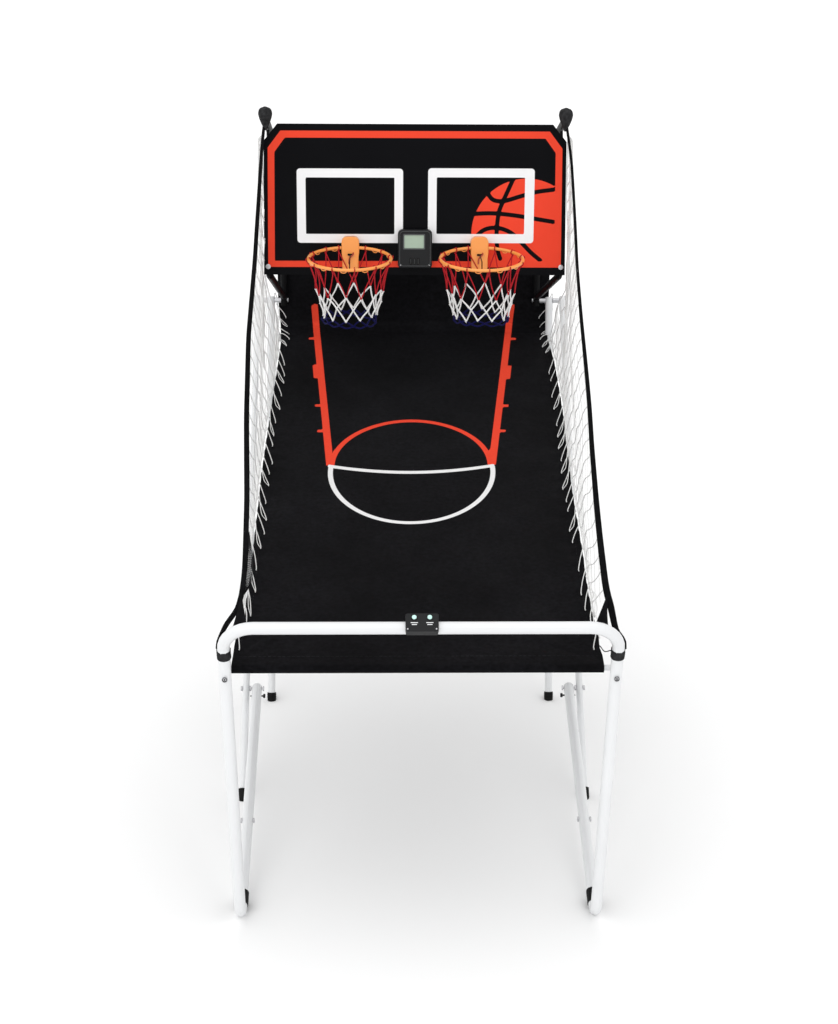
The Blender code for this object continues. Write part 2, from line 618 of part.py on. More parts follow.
def make_front_bars():
    joint_l, joint_r = at(-BAR_X, COUPLER), at(BAR_X, COUPLER)
    corner_l, corner_r = at(-BAR_X, BAR), at(BAR_X, BAR)
    ends = (along(joint_l, corner_l, 0.014 + GAP), along(joint_r, corner_r, 0.014 + GAP))
    path = rounded_path([ends[0], corner_l, corner_r, ends[1]], BAR_BEND, 8)
    front_bar = bar("front_bar", path, MAIN_R, "white_paint")

    inner = BAR_X + 0.006
    rod = bar("hem_rod", [at(-inner, HEM), at(inner, HEM)], HEM_R, "white_paint", sides=12,
              across=Vector((0.0, 0.0, 1.0)))
    return [front_bar, rod]


def make_control_box():
    """Box clamped on the front bar, with two push buttons in pockets in its face."""
    across, up, out = box_axes()
    middle = at(0.0, BAR)
    height = BOX_UP + BOX_DOWN
    outline = [middle + across * (x - BOX_W / 2) + up * (y - BOX_DOWN) + out * (BOX_FACE - BOX_DEPTH)
               for x, y in rounded_outline(BOX_W, height, (0.005,) * 4, 3)]
    box = add_object("control_box", prism_mesh(outline, out * BOX_DEPTH), "dark_plastic")
    bevel = box.modifiers.new("Bevel", "BEVEL")
    bevel.width = 0.0015
    bevel.segments = 2
    bevel.limit_method = "ANGLE"
    bore(box, middle - across * 0.06, middle + across * 0.06, MAIN_R + 3 * GAP, 24)
    buttons = []
    for side, sign in (("left", -1), ("right", 1)):
        face = middle + across * (sign * BUTTON_X) + up * BUTTON_UP + out * BOX_FACE
        cutter = turned("cut_button_" + side, face + out * 0.01, -out,
                        [(0.0, BUTTON_R + 0.0005), (0.01 + BUTTON_POCKET, BUTTON_R + 0.0005)],
                        "dark_plastic", sides=20)
        boolean(box, cutter)
        steps = [(0.0, BUTTON_R), (BUTTON_H - 0.001, BUTTON_R), (BUTTON_H - 0.0003, BUTTON_R - 0.0007),
                 (BUTTON_H, BUTTON_R - 0.002)]
        start = face + out * (BUTTON_OUT - BUTTON_H)
        button = turned("button_" + side, start, out, steps, "button_plastic", origin=start, sides=20)
        buttons.append(button)
    return [box] + buttons


def make_lock_pin(side, sign):
    """Spring plunger in the hinge cap's lug: its nose rests against the strut."""
    reach = Vector((sign, 0.0, 0.0))
    place = lock_pin_place(sign)[0]
    length = 0.026 + STRUT_X - STRUT_R - PIVOT_X - 0.0008
    start = place - reach * 0.026
    steps = [(0.0, 0.0055), (0.0012, 0.007), (0.006, 0.007), (0.0072, 0.0055), (0.0072, LOCK_PIN_R),
             (length - 0.004, LOCK_PIN_R), (length, 0.0012)]
    return turned("lock_pin_" + side, start, reach, steps, "zinc_steel", origin=start, sides=12)


# ---------------------------------------------------------------- assembly
def empty(name, place):
    obj = bpy.data.objects.new(name, None)
    bpy.context.scene.collection.objects.link(obj)
    obj.location = place
    return obj


def build():
    clear_scene()
    fold = empty("fold_axis", pivot_point(0.0))
    front = []
    for side, sign in (("left", -1), ("right", 1)):
        make_stand_side(side, sign)
        make_hoop(side, sign)
        make_trigger(side, sign)
        front += make_front_side(side, sign)
        front.append(make_lock_pin(side, sign))
    make_rear_bars()
    make_backboard()
    make_scoreboard()
    make_soft_goods()
    front += make_front_bars()
    front += make_control_box()
    put_under(fold, *front)


build()
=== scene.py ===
"""Look of the foldable two-hoop basketball machine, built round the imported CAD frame. Metres, +Z up."""
import math
import random

import bmesh
import bpy
import numpy as np
from mathutils import Matrix, Vector


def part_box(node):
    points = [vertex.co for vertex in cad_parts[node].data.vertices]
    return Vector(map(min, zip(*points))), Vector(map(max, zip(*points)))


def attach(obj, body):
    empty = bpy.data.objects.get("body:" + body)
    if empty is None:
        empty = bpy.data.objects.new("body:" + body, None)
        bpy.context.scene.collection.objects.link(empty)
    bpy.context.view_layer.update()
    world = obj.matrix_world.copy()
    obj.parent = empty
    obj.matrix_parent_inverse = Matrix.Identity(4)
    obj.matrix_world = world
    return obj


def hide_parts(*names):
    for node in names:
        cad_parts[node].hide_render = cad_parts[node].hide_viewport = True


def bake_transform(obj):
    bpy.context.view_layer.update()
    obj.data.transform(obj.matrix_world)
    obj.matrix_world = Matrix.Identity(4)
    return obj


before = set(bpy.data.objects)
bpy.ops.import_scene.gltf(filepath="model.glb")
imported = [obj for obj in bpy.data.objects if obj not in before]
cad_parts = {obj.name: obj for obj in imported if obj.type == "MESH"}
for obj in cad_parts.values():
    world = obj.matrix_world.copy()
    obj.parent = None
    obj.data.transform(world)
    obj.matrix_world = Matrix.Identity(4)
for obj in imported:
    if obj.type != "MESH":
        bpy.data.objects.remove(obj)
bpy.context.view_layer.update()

STAND, FRONT = "rear_stand", "front_frame"
SIDES = (("left", -1), ("right", 1))


# ---------------------------------------------------------------- places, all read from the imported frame
def box(node):
    low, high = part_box(node)
    return Vector(low), Vector(high)


def middle(node):
    low, high = box(node)
    return (low + high) / 2


def size(node):
    low, high = box(node)
    return high - low


X_AXIS = Vector((1.0, 0.0, 0.0))
HEM = middle("hem_rod")
HEM_R = size("hem_rod").z / 2
REAR_BAR = middle("rear_crossbar")
REAR_BAR_R = size("rear_crossbar").z / 2
TUBE_R = 0.016
BAR_MID = Vector((0.0, box("front_bar")[0].y + TUBE_R, box("front_bar")[1].z - TUBE_R))
BOARD_LEAN = math.radians(4.0)
BOARD_T = 0.012
BOARD_LOW, BOARD_HIGH = box("backboard")
BOARD_FOOT = Vector((0.0, BOARD_LOW.y, BOARD_LOW.z + BOARD_T * math.sin(BOARD_LEAN)))
BOARD_HALF = BOARD_HIGH.x
BOARD_H = (BOARD_HIGH.z - BOARD_FOOT.z) / math.cos(BOARD_LEAN)
BOARD_UP = Vector((0.0, math.sin(BOARD_LEAN), math.cos(BOARD_LEAN)))
BOARD_OUT = Vector((0.0, -math.cos(BOARD_LEAN), math.sin(BOARD_LEAN)))
BOX_TILT = math.radians(45.0)
BOX_UP = Vector((0.0, math.sin(BOX_TILT), math.cos(BOX_TILT)))
BOX_OUT = Vector((0.0, -math.cos(BOX_TILT), math.sin(BOX_TILT)))


def on_board(u, v, w=0.0):
    """A place across and up the backboard, and out from its face."""
    return BOARD_FOOT + Vector((u, 0.0, 0.0)) + BOARD_UP * v + BOARD_OUT * w


def on_control_box(u, v, w):
    """A place across and up the control box's face, and out from the bar's axis."""
    return BAR_MID + X_AXIS * u + BOX_UP * v + BOX_OUT * w


# ---------------------------------------------------------------- materials
class Nodes:
    """Small helper that builds one node material."""

    def __init__(self, name, colour, rough, metal=0.0, **sockets):
        self.mat = bpy.data.materials.new(name)
        self.mat.use_nodes = True
        self.tree = self.mat.node_tree
        self.shader = self.tree.nodes["Principled BSDF"]
        sockets.update(Base_Color=(*colour, 1.0), Roughness=rough, Metallic=metal)
        for key, value in sockets.items():
            self.shader.inputs[key.replace("_", " ")].default_value = value
        self.place = self.node("ShaderNodeTexCoord").outputs["Object"]

    def node(self, kind, inputs=(), **settings):
        """A new node. Each input is a number, a tuple or the output of another node."""
        made = self.tree.nodes.new(kind)
        for key, value in settings.items():
            setattr(made, key, value)
        for key, value in dict(inputs).items():
            if isinstance(value, (int, float, tuple)):
                made.inputs[key].default_value = value
            else:
                self.tree.links.new(value, made.inputs[key])
        return made

    def stretched(self, scale):
        return self.node("ShaderNodeMapping", {"Scale": scale, "Vector": self.place}).outputs["Vector"]

    def noise(self, scale, detail=3.0, vector=None):
        inputs = {"Scale": scale, "Detail": detail, "Vector": vector or self.place}
        return self.node("ShaderNodeTexNoise", inputs).outputs["Fac"]

    def wave(self, scale, direction, distortion=0.0, vector=None):
        inputs = {"Scale": scale, "Distortion": distortion, "Vector": vector or self.place}
        return self.node("ShaderNodeTexWave", inputs, bands_direction=direction).outputs["Fac"]

    def ranged(self, value, low, high, from_low=0.0, from_high=1.0):
        inputs = {"Value": value, "From Min": from_low, "From Max": from_high, "To Min": low, "To Max": high}
        return self.node("ShaderNodeMapRange", inputs).outputs["Result"]

    def maths(self, operation, a, b):
        return self.node("ShaderNodeMath", {0: a, 1: b}, operation=operation).outputs[0]

    def mixed(self, factor, a, b, blend="MIX"):
        a, b = ((*ink, 1.0) if isinstance(ink, tuple) else ink for ink in (a, b))
        inputs = {"Factor": factor, 6: a, 7: b}
        return self.node("ShaderNodeMix", inputs, data_type="RGBA", blend_type=blend).outputs[2]

    def attribute(self, name):
        return self.node("ShaderNodeAttribute", attribute_name=name).outputs["Fac"]

    def bump(self, height, strength, distance):
        inputs = {"Strength": strength, "Distance": distance, "Height": height}
        self.set("Normal", self.node("ShaderNodeBump", inputs).outputs["Normal"])

    def set(self, socket, value):
        self.tree.links.new(value, self.shader.inputs[socket])


def shade(colour, factor):
    return tuple(min(c * factor, 1.0) for c in colour)


def painted(name, colour, rough, peel=0.05, wear=0.93, **sockets):
    """Powder coat or gloss paint: a faint orange peel, and slightly uneven colour and gloss."""
    m = Nodes(name, colour, rough, **sockets)
    m.set("Base Color", m.mixed(m.noise(7.0), shade(colour, wear), colour))
    m.set("Roughness", m.ranged(m.noise(38.0), rough * 0.8, rough * 1.25))
    m.bump(m.noise(620.0, 2.0), peel, 0.0004)
    return m.mat


def moulded(name, colour, rough, grain=0.12, scale=900.0, gloss=0.5):
    """Moulded plastic or rubber with a fine spark-eroded grain."""
    m = Nodes(name, colour, rough, Specular_IOR_Level=gloss)
    m.set("Base Color", m.mixed(m.noise(24.0), shade(colour, 0.8), shade(colour, 1.25)))
    m.set("Roughness", m.ranged(m.noise(60.0), rough * 0.85, rough * 1.15))
    m.bump(m.noise(scale, 4.0), grain, 0.0004)
    return m.mat


def plated(name, colour, rough):
    """Zinc-plated steel with fine turning marks and cloudy patches."""
    m = Nodes(name, colour, rough, 1.0)
    m.set("Base Color", m.mixed(m.noise(220.0), shade(colour, 0.72), colour))
    m.set("Roughness", m.ranged(m.noise(340.0), rough * 0.6, rough * 1.5))
    m.bump(m.wave(900.0, "Y", 4.0), 0.05, 0.0002)
    return m.mat


def braided(name, colour, sheen=0.35, gloss=0.5):
    """Braided net cord: slanting strands and fuzz, with the grooves between strands darkened as painted
    shade.
    """
    m = Nodes(name, colour, 0.8, Sheen_Weight=sheen, Sheen_Roughness=0.5, Specular_IOR_Level=gloss)
    strands = m.wave(420.0, "DIAGONAL", 1.5)
    # darker where the strands' bump is low: painted shade in the grooves between them
    m.set("Base Color", m.mixed(strands, shade(colour, 0.62), shade(colour, 1.08)))
    m.bump(strands, 0.55, 0.0006)
    return m.mat


def woven(name, cloth, inks=()):
    """Plain woven polyester with slubs and a soft sheen, and any screen-printed marks.

    Each ink comes with the attribute that holds the distance to its edge.
    """
    m = Nodes(name, cloth, 0.7, Specular_IOR_Level=0.04, Sheen_Weight=0.004, Sheen_Roughness=0.4)
    threads = 1.0 / (THREAD_PITCH * 3.2)
    warp = m.wave(threads, "X", 0.4)
    weft = m.wave(threads * 2.0, "DIAGONAL", 0.4, m.stretched((0.0, 1.0, 1.0)))
    slub = m.noise(42.0, 4.0, m.stretched((6.0, 0.6, 0.6)))
    m.bump(m.maths("ADD", m.maths("ADD", warp, weft), slub), 0.22, 0.0004)
    m.set("Roughness", m.ranged(m.noise(12.0), 0.55, 0.8))
    tone = m.ranged(m.maths("MULTIPLY", m.noise(3.2, 5.0), m.noise(90.0, 2.0)), 0.55, 1.9, 0.12, 0.45)
    colour = m.mixed(1.0, cloth, tone, "MULTIPLY")
    for attribute, ink in inks:
        rag = m.ranged(m.noise(260.0, 2.0), -INK_RAG, INK_RAG)
        inside = m.ranged(m.maths("ADD", m.attribute(attribute), rag), 1.0, 0.0, -INK_RAG, INK_RAG)
        colour = m.mixed(inside, colour, m.mixed(m.noise(180.0, 3.0), shade(ink, 0.84), ink))
    m.set("Base Color", colour)
    return m.mat


def printed_board(name, black, inks):
    """Gloss laminate with printed marks under its clear face."""
    m = Nodes(name, black, 0.16, Specular_IOR_Level=0.04)
    colour = m.mixed(m.noise(5.0, 4.0), shade(black, 0.8), shade(black, 1.5))
    for attribute, ink in inks:
        inside = m.ranged(m.attribute(attribute), 1.0, 0.0, -0.0004, 0.0004)
        colour = m.mixed(inside, colour, m.mixed(m.noise(9.0), shade(ink, 0.95), ink))
    m.set("Base Color", colour)
    m.set("Roughness", m.ranged(m.noise(16.0, 4.0), 0.16, 0.27))
    m.bump(m.noise(70.0, 3.0), 0.02, 0.001)
    return m.mat


def display_glass(name, glass):
    """Liquid-crystal display: grey-green, with faint unlit segments."""
    m = Nodes(name, glass, 0.18, Specular_IOR_Level=0.3)
    grid = m.maths("MULTIPLY", m.wave(150.0, "X"), m.wave(90.0, "Z"))
    m.set("Base Color", m.mixed(m.ranged(grid, 0.0, 0.25), glass, (0.30, 0.39, 0.31)))
    m.set("Roughness", m.ranged(m.noise(60.0), 0.12, 0.24))
    return m.mat


THREAD_PITCH, INK_RAG = 0.0016, 0.0006
ORANGE_INK = (0.80, 0.062, 0.030)
CLOTH_BLACK = (0.0038, 0.0037, 0.0045)
MAT = {
    "white": painted("powder_coat_white", (0.76, 0.77, 0.78), 0.30, Coat_Weight=0.15),
    "black": painted("powder_coat_black", (0.0045, 0.0045, 0.005), 0.42, Specular_IOR_Level=0.06),
    "orange": painted("hoop_paint_orange", (0.93, 0.33, 0.065), 0.30, 0.04, 0.9, Coat_Weight=0.2),
    # darker red than the hoop's orange paint: painted shade on the bracket's curled hook
    "hook": painted("hook_red_painted_shade", (0.42, 0.045, 0.02), 0.35),
    "plastic": moulded("case_plastic_dark", (0.0085, 0.009, 0.010), 0.38, gloss=0.2),
    "bezel": moulded("bezel_plastic_grey", (0.055, 0.06, 0.062), 0.36),
    "rubber": moulded("foot_rubber_black", (0.006, 0.006, 0.006), 0.6, 0.3, 520.0, 0.12),
    "mint": moulded("button_plastic_mint", (0.55, 0.86, 0.76), 0.38, 0.04),
    "ink": moulded("label_ink_white", (0.74, 0.75, 0.76), 0.55, 0.03),
    "laminate": painted("board_laminate_black", (0.004, 0.004, 0.005), 0.24, 0.03, 0.8,
                        Specular_IOR_Level=0.05),
    "steel": plated("zinc_plated_steel", (0.62, 0.62, 0.64), 0.30),
    "display": display_glass("display_lens", (0.36, 0.46, 0.36)),
    "cloth": woven("woven_polyester_black", CLOTH_BLACK),
    "webbing": woven("webbing_black", (0.0035, 0.0035, 0.004)),
    "pouch": woven("pocket_cloth_grey", (0.021, 0.021, 0.022)),
    "cord_white": braided("net_cord_white", (0.90, 0.90, 0.89)),
    "cord_red": braided("net_cord_red", (0.50, 0.010, 0.018), 0.04, 0.15),
    "cord_navy": braided("net_cord_navy", (0.004, 0.004, 0.060), 0.02, 0.08),
    "court": woven("woven_polyester_court", CLOTH_BLACK,
                   (("print_orange", ORANGE_INK), ("print_white", (0.80, 0.80, 0.80)))),
    "board": printed_board("board_print", (0.0030, 0.0030, 0.0038),
                           (("print_orange", ORANGE_INK), ("print_white", (0.84, 0.84, 0.85)))),
}


# ---------------------------------------------------------------- mesh building
def mesh_object(name, verts, faces, mats, attributes=None, face_mats=None):
    mesh = bpy.data.meshes.new(name)
    mesh.from_pydata([tuple(map(float, v)) for v in verts], [], faces)
    for item in mats:
        mesh.materials.append(MAT[item])
    if face_mats is not None:
        mesh.polygons.foreach_set("material_index", face_mats)
    for key, values in (attributes or {}).items():
        layer = mesh.attributes.new(key, "FLOAT", "POINT")
        layer.data.foreach_set("value", np.asarray(values, np.float32))
    obj = bpy.data.objects.new(name, mesh)
    bpy.context.scene.collection.objects.link(obj)
    tidy = bmesh.new()
    tidy.from_mesh(mesh)
    bmesh.ops.recalc_face_normals(tidy, faces=tidy.faces)
    tidy.to_mesh(mesh)
    tidy.free()
    mesh.shade_smooth()
    mesh.set_sharp_from_angle(angle=math.radians(50.0))
    return obj


def shell(name, grid, thickness, mat, attributes=None, closed=False):
    """A thin sheet round a grid of points, rows by columns. closed joins the last column to the first."""
    grid = np.asarray(grid, float)
    rows, cols = grid.shape[:2]
    along = np.gradient(grid, axis=0)
    if closed:
        across = (np.roll(grid, -1, axis=1) - np.roll(grid, 1, axis=1)) / 2
    else:
        across = np.gradient(grid, axis=1)
    normal = np.cross(across, along)
    normal /= np.maximum(np.linalg.norm(normal, axis=2, keepdims=True), 1e-12)
    top = (grid + normal * thickness / 2).reshape(-1, 3)
    under = (grid - normal * thickness / 2).reshape(-1, 3)
    total = rows * cols
    span = cols if closed else cols - 1
    faces = []
    for i in range(rows - 1):
        for j in range(span):
            k = (j + 1) % cols
            a, b, c, d = i * cols + j, i * cols + k, (i + 1) * cols + k, (i + 1) * cols + j
            faces += [(a, b, c, d), (a + total, d + total, c + total, b + total)]
    rim = [(i * cols + j, i * cols + (j + 1) % cols) for i in (0, rows - 1) for j in range(span)]
    faces += [(a, a + total, b + total, b) for a, b in rim]
    if not closed:
        rim = [(i * cols + j, (i + 1) * cols + j) for j in (0, cols - 1) for i in range(rows - 1)]
        faces += [(a, b, b + total, a + total) for a, b in rim]
    layers = {key: np.concatenate([np.asarray(values, float).reshape(-1), np.full(total, 1.0)])
              for key, values in (attributes or {}).items()}
    return mesh_object(name, np.concatenate([top, under]), faces, [mat], attributes=layers)


def smooth_path(points, steps=8):
    """A Catmull-Rom curve through the points."""
    p = [np.asarray(q, float) for q in points]
    p = [2 * p[0] - p[1]] + p + [2 * p[-1] - p[-2]]
    out = []
    for i in range(1, len(p) - 2):
        for k in range(steps):
            t = k / steps
            out.append(0.5 * (2 * p[i] + (p[i + 1] - p[i - 1]) * t
                              + (2 * p[i - 1] - 5 * p[i] + 4 * p[i + 1] - p[i + 2]) * t * t
                              + (3 * p[i] - p[i - 1] - 3 * p[i + 1] + p[i + 2]) * t ** 3))
    out.append(p[-2])
    return np.array(out)


def circle(centre, radius, count, u=(1.0, 0.0, 0.0), v=(0.0, 0.0, 1.0)):
    """Points round a circle, in the plane of u and v."""
    return [np.array(centre) + (np.array(u) * math.cos(a) + np.array(v) * math.sin(a)) * radius
            for a in np.linspace(0, math.tau, count + 1)[:-1]]


class Tubes:
    """Collects many thin round cords, with one material each, into one mesh."""

    def __init__(self):
        self.verts, self.faces, self.marks = [], [], []

    def add(self, face, mark):
        self.faces.append(face)
        self.marks.append(mark)

    def rings(self, rows, mark, closed=False):
        """Joins each ring of points to the next, and closes both ends or joins the last ring to the first."""
        n, sides, base = len(rows), len(rows[0]), len(self.verts)
        for row in rows:
            self.verts += row
        for i in range(n if closed else n - 1):
            low, high = base + i * sides, base + ((i + 1) % n) * sides
            for k in range(sides):
                nxt = (k + 1) % sides
                self.add((low + k, low + nxt, high + nxt, high + k), mark)
        if not closed:
            self.add(tuple(base + k for k in reversed(range(sides))), mark)
            self.add(tuple(base + (n - 1) * sides + k for k in range(sides)), mark)

    def tube(self, points, radius, sides=5, mark=0, flat=1.0, across=(0.31, 0.17, 0.93), closed=False):
        """A cord along the points. flat squashes it across the direction that across gives."""
        p = np.asarray(points, float)
        if closed:
            tangent = np.roll(p, -1, axis=0) - np.roll(p, 1, axis=0)
        else:
            tangent = np.gradient(p, axis=0)
        tangent /= np.maximum(np.linalg.norm(tangent, axis=1, keepdims=True), 1e-12)
        side = np.asarray(across, float)
        rows = []
        for point, run, r in zip(p, tangent, np.broadcast_to(np.asarray(radius, float), (len(p),))):
            side = side - run * side.dot(run)
            side = side / max(np.linalg.norm(side), 1e-9)
            other = np.cross(run, side)
            turns = [math.tau * k / sides for k in range(sides)]
            rows.append([point + (side * math.cos(a) + other * math.sin(a) * flat) * r for a in turns])
        self.rings(rows, mark, closed)

    def knot(self, centre, radius, mark=0):
        """A small eight-sided bead."""
        c = np.asarray(centre, float)
        base = len(self.verts)
        for d in ((1, 0, 0), (-1, 0, 0), (0, 1, 0), (0, -1, 0), (0, 0, 1), (0, 0, -1)):
            self.verts.append(c + np.array(d) * radius)
        for a, b, e in ((0, 2, 4), (2, 1, 4), (1, 3, 4), (3, 0, 4),
                        (2, 0, 5), (1, 2, 5), (3, 1, 5), (0, 3, 5)):
            self.add((base + a, base + b, base + e), mark)

    def screw(self, centre, axis, radius, height):
        """A domed screw head with a sunk middle, as one solid of revolution."""
        axis = np.array(axis)
        side = np.cross(axis, (0.31, 0.87, 0.38))
        side /= np.linalg.norm(side)
        other = np.cross(axis, side)
        turns = [math.tau * k / 12 for k in range(12)]
        steps = ((0.0, 1.0), (0.55, 0.98), (0.85, 0.72), (1.0, 0.42), (0.62, 0.34), (0.55, 0.05))
        rows = []
        for s, r in steps:
            point = np.array(centre) + axis * height * s
            rows.append([point + (side * math.cos(a) + other * math.sin(a)) * r * radius for a in turns])
        self.rings(rows, 0)

    def build(self, name, mats):
        return mesh_object(name, self.verts, self.faces, mats, face_mats=self.marks)


def plate(outline, origin, up, out, depth, name, mat, bevel=0.0):
    """A flat plate: the outline is a loop of (across, up) pairs and depth runs along out."""
    near = [origin + X_AXIS * a + up * b for a, b in outline]
    far = [p + out * depth for p in near]
    n = len(near)
    faces = [tuple(range(n)), tuple(range(2 * n - 1, n - 1, -1))]
    faces += [(k, (k + 1) % n, (k + 1) % n + n, k + n) for k in range(n)]
    obj = mesh_object(name, near + far, faces, [mat])
    if bevel:
        modifier = obj.modifiers.new("Bevel", "BEVEL")
        modifier.width = bevel
        modifier.segments = 3
        modifier.limit_method = "ANGLE"
    return obj


def rounded(width, height, radius, steps=5):
    """A rounded rectangle about its centre, as (across, up) pairs."""
    points = []
    for sx, sy, start in ((-1, -1, 180), (1, -1, 270), (1, 1, 0), (-1, 1, 90)):
        for k in range(steps + 1):
            a = math.radians(start + 90 * k / steps)
            points.append((sx * (width / 2 - radius) + radius * math.cos(a),
                           sy * (height / 2 - radius) + radius * math.sin(a)))
    return points


def join(name, parts):
    """One object from several, with their modifiers applied."""
    depsgraph = bpy.context.evaluated_depsgraph_get()
    keys = {mat.name: key for key, mat in MAT.items()}
    verts, faces, mats, marks = [], [], [], []
    for part in parts:
        mesh = part.evaluated_get(depsgraph).to_mesh()
        base = len(verts)
        verts += [part.matrix_world @ v.co for v in mesh.vertices]
        for face in mesh.polygons:
            faces.append(tuple(base + k for k in face.vertices))
            key = keys[mesh.materials[face.material_index].name]
            if key not in mats:
                mats.append(key)
            marks.append(mats.index(key))
    for part in parts:
        bpy.data.objects.remove(part, do_unlink=True)
    return mesh_object(name, verts, faces, mats, face_mats=marks)


def place(obj, body, slot, *nodes):
    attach(obj, body)
    if nodes:
        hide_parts(*nodes)
    return obj


# ---------------------------------------------------------------- camera, floor and lights
CAMERA_TURN = (1.304, 18.92, 0.40)  # yaw, pitch and roll in degrees
CAMERA_AT = Vector((-0.1003, -4.9786, 2.598))
CAMERA_LENS, CAMERA_SENSOR = 60.73, 36.0
FLOOR_REACH, FLOOR_Z = 90.0, -0.0006


def make_stage():
    yaw, pitch, roll = map(math.radians, CAMERA_TURN)
    forward = Vector((math.sin(yaw) * math.cos(pitch), math.cos(yaw) * math.cos(pitch), -math.sin(pitch)))
    level = Vector((math.cos(yaw), -math.sin(yaw), 0.0))
    upward = level.cross(forward)
    right = level * math.cos(roll) + upward * math.sin(roll)
    top = -level * math.sin(roll) + upward * math.cos(roll)
    data = bpy.data.cameras.new("camera")
    data.sensor_width = CAMERA_SENSOR
    data.lens = CAMERA_LENS
    camera = bpy.data.objects.new("camera", data)
    bpy.context.scene.collection.objects.link(camera)
    turn = Matrix((right, top, -forward)).transposed().to_4x4()
    camera.matrix_world = Matrix.Translation(CAMERA_AT) @ turn
    bpy.context.scene.camera = camera

    corners = ((-1, -1), (1, -1), (1, 1), (-1, 1))
    floor = mesh_object("floor", [(x * FLOOR_REACH, y * FLOOR_REACH, FLOOR_Z) for x, y in corners],
                        [(0, 1, 2, 3)], ["white"])
    floor.data.materials[0] = Nodes("floor_pale", (0.93, 0.93, 0.93), 0.85).mat

    world = bpy.data.worlds.new("studio")
    world.use_nodes = True
    back = world.node_tree.nodes["Background"]
    back.inputs["Color"].default_value = (1.0, 1.0, 1.0, 1.0)
    back.inputs["Strength"].default_value = 0.96
    bpy.context.scene.world = world
    bpy.context.scene.view_settings.view_transform = "Standard"

    def sun(name, direction, strength, angle):
        light = bpy.data.lights.new(name, "SUN")
        light.energy = strength
        light.angle = math.radians(angle)
        lamp = bpy.data.objects.new(name, light)
        lamp.rotation_mode = "QUATERNION"
        lamp.rotation_quaternion = Vector(direction).to_track_quat("-Z", "Y")
        bpy.context.scene.collection.objects.link(lamp)

    sun("top_light", (0.10, 0.25, -1.0), 0.75, 90.0)
    sun("front_light", (0.45, 1.0, -0.55), 0.45, 40.0)


# ---------------------------------------------------------------- distance fields for the prints
def to_segments(x, y, points):
    """Distance from each place to a polyline."""
    best = np.full(np.shape(x), 1e9)
    for (ax, ay), (bx, by) in zip(points, points[1:]):
        dx, dy = bx - ax, by - ay
        t = np.clip(((x - ax) * dx + (y - ay) * dy) / max(dx * dx + dy * dy, 1e-12), 0.0, 1.0)
        best = np.minimum(best, np.hypot(x - ax - t * dx, y - ay - t * dy))
    return best


def to_box(x, y, x0, x1, y0, y1, radius=0.0):
    """Distance from each place to a rounded box, less than nothing inside it."""
    cx, cy = (x0 + x1) / 2, (y0 + y1) / 2
    qx = np.abs(x - cx) - (x1 - x0) / 2 + radius
    qy = np.abs(y - cy) - (y1 - y0) / 2 + radius
    outside = np.hypot(np.maximum(qx, 0.0), np.maximum(qy, 0.0))
    return outside + np.minimum(np.maximum(qx, qy), 0.0) - radius


def to_ellipse(x, y, cx, cy, a, b):
    """Distance from each place to an ellipse, less than nothing inside it."""
    fx, fy = (x - cx) / a, (y - cy) / b
    value = np.hypot(fx, fy)
    slope = np.hypot(fx / a, fy / b) / np.maximum(value, 1e-9)
    return (value - 1.0) / np.maximum(slope, 1e-9)


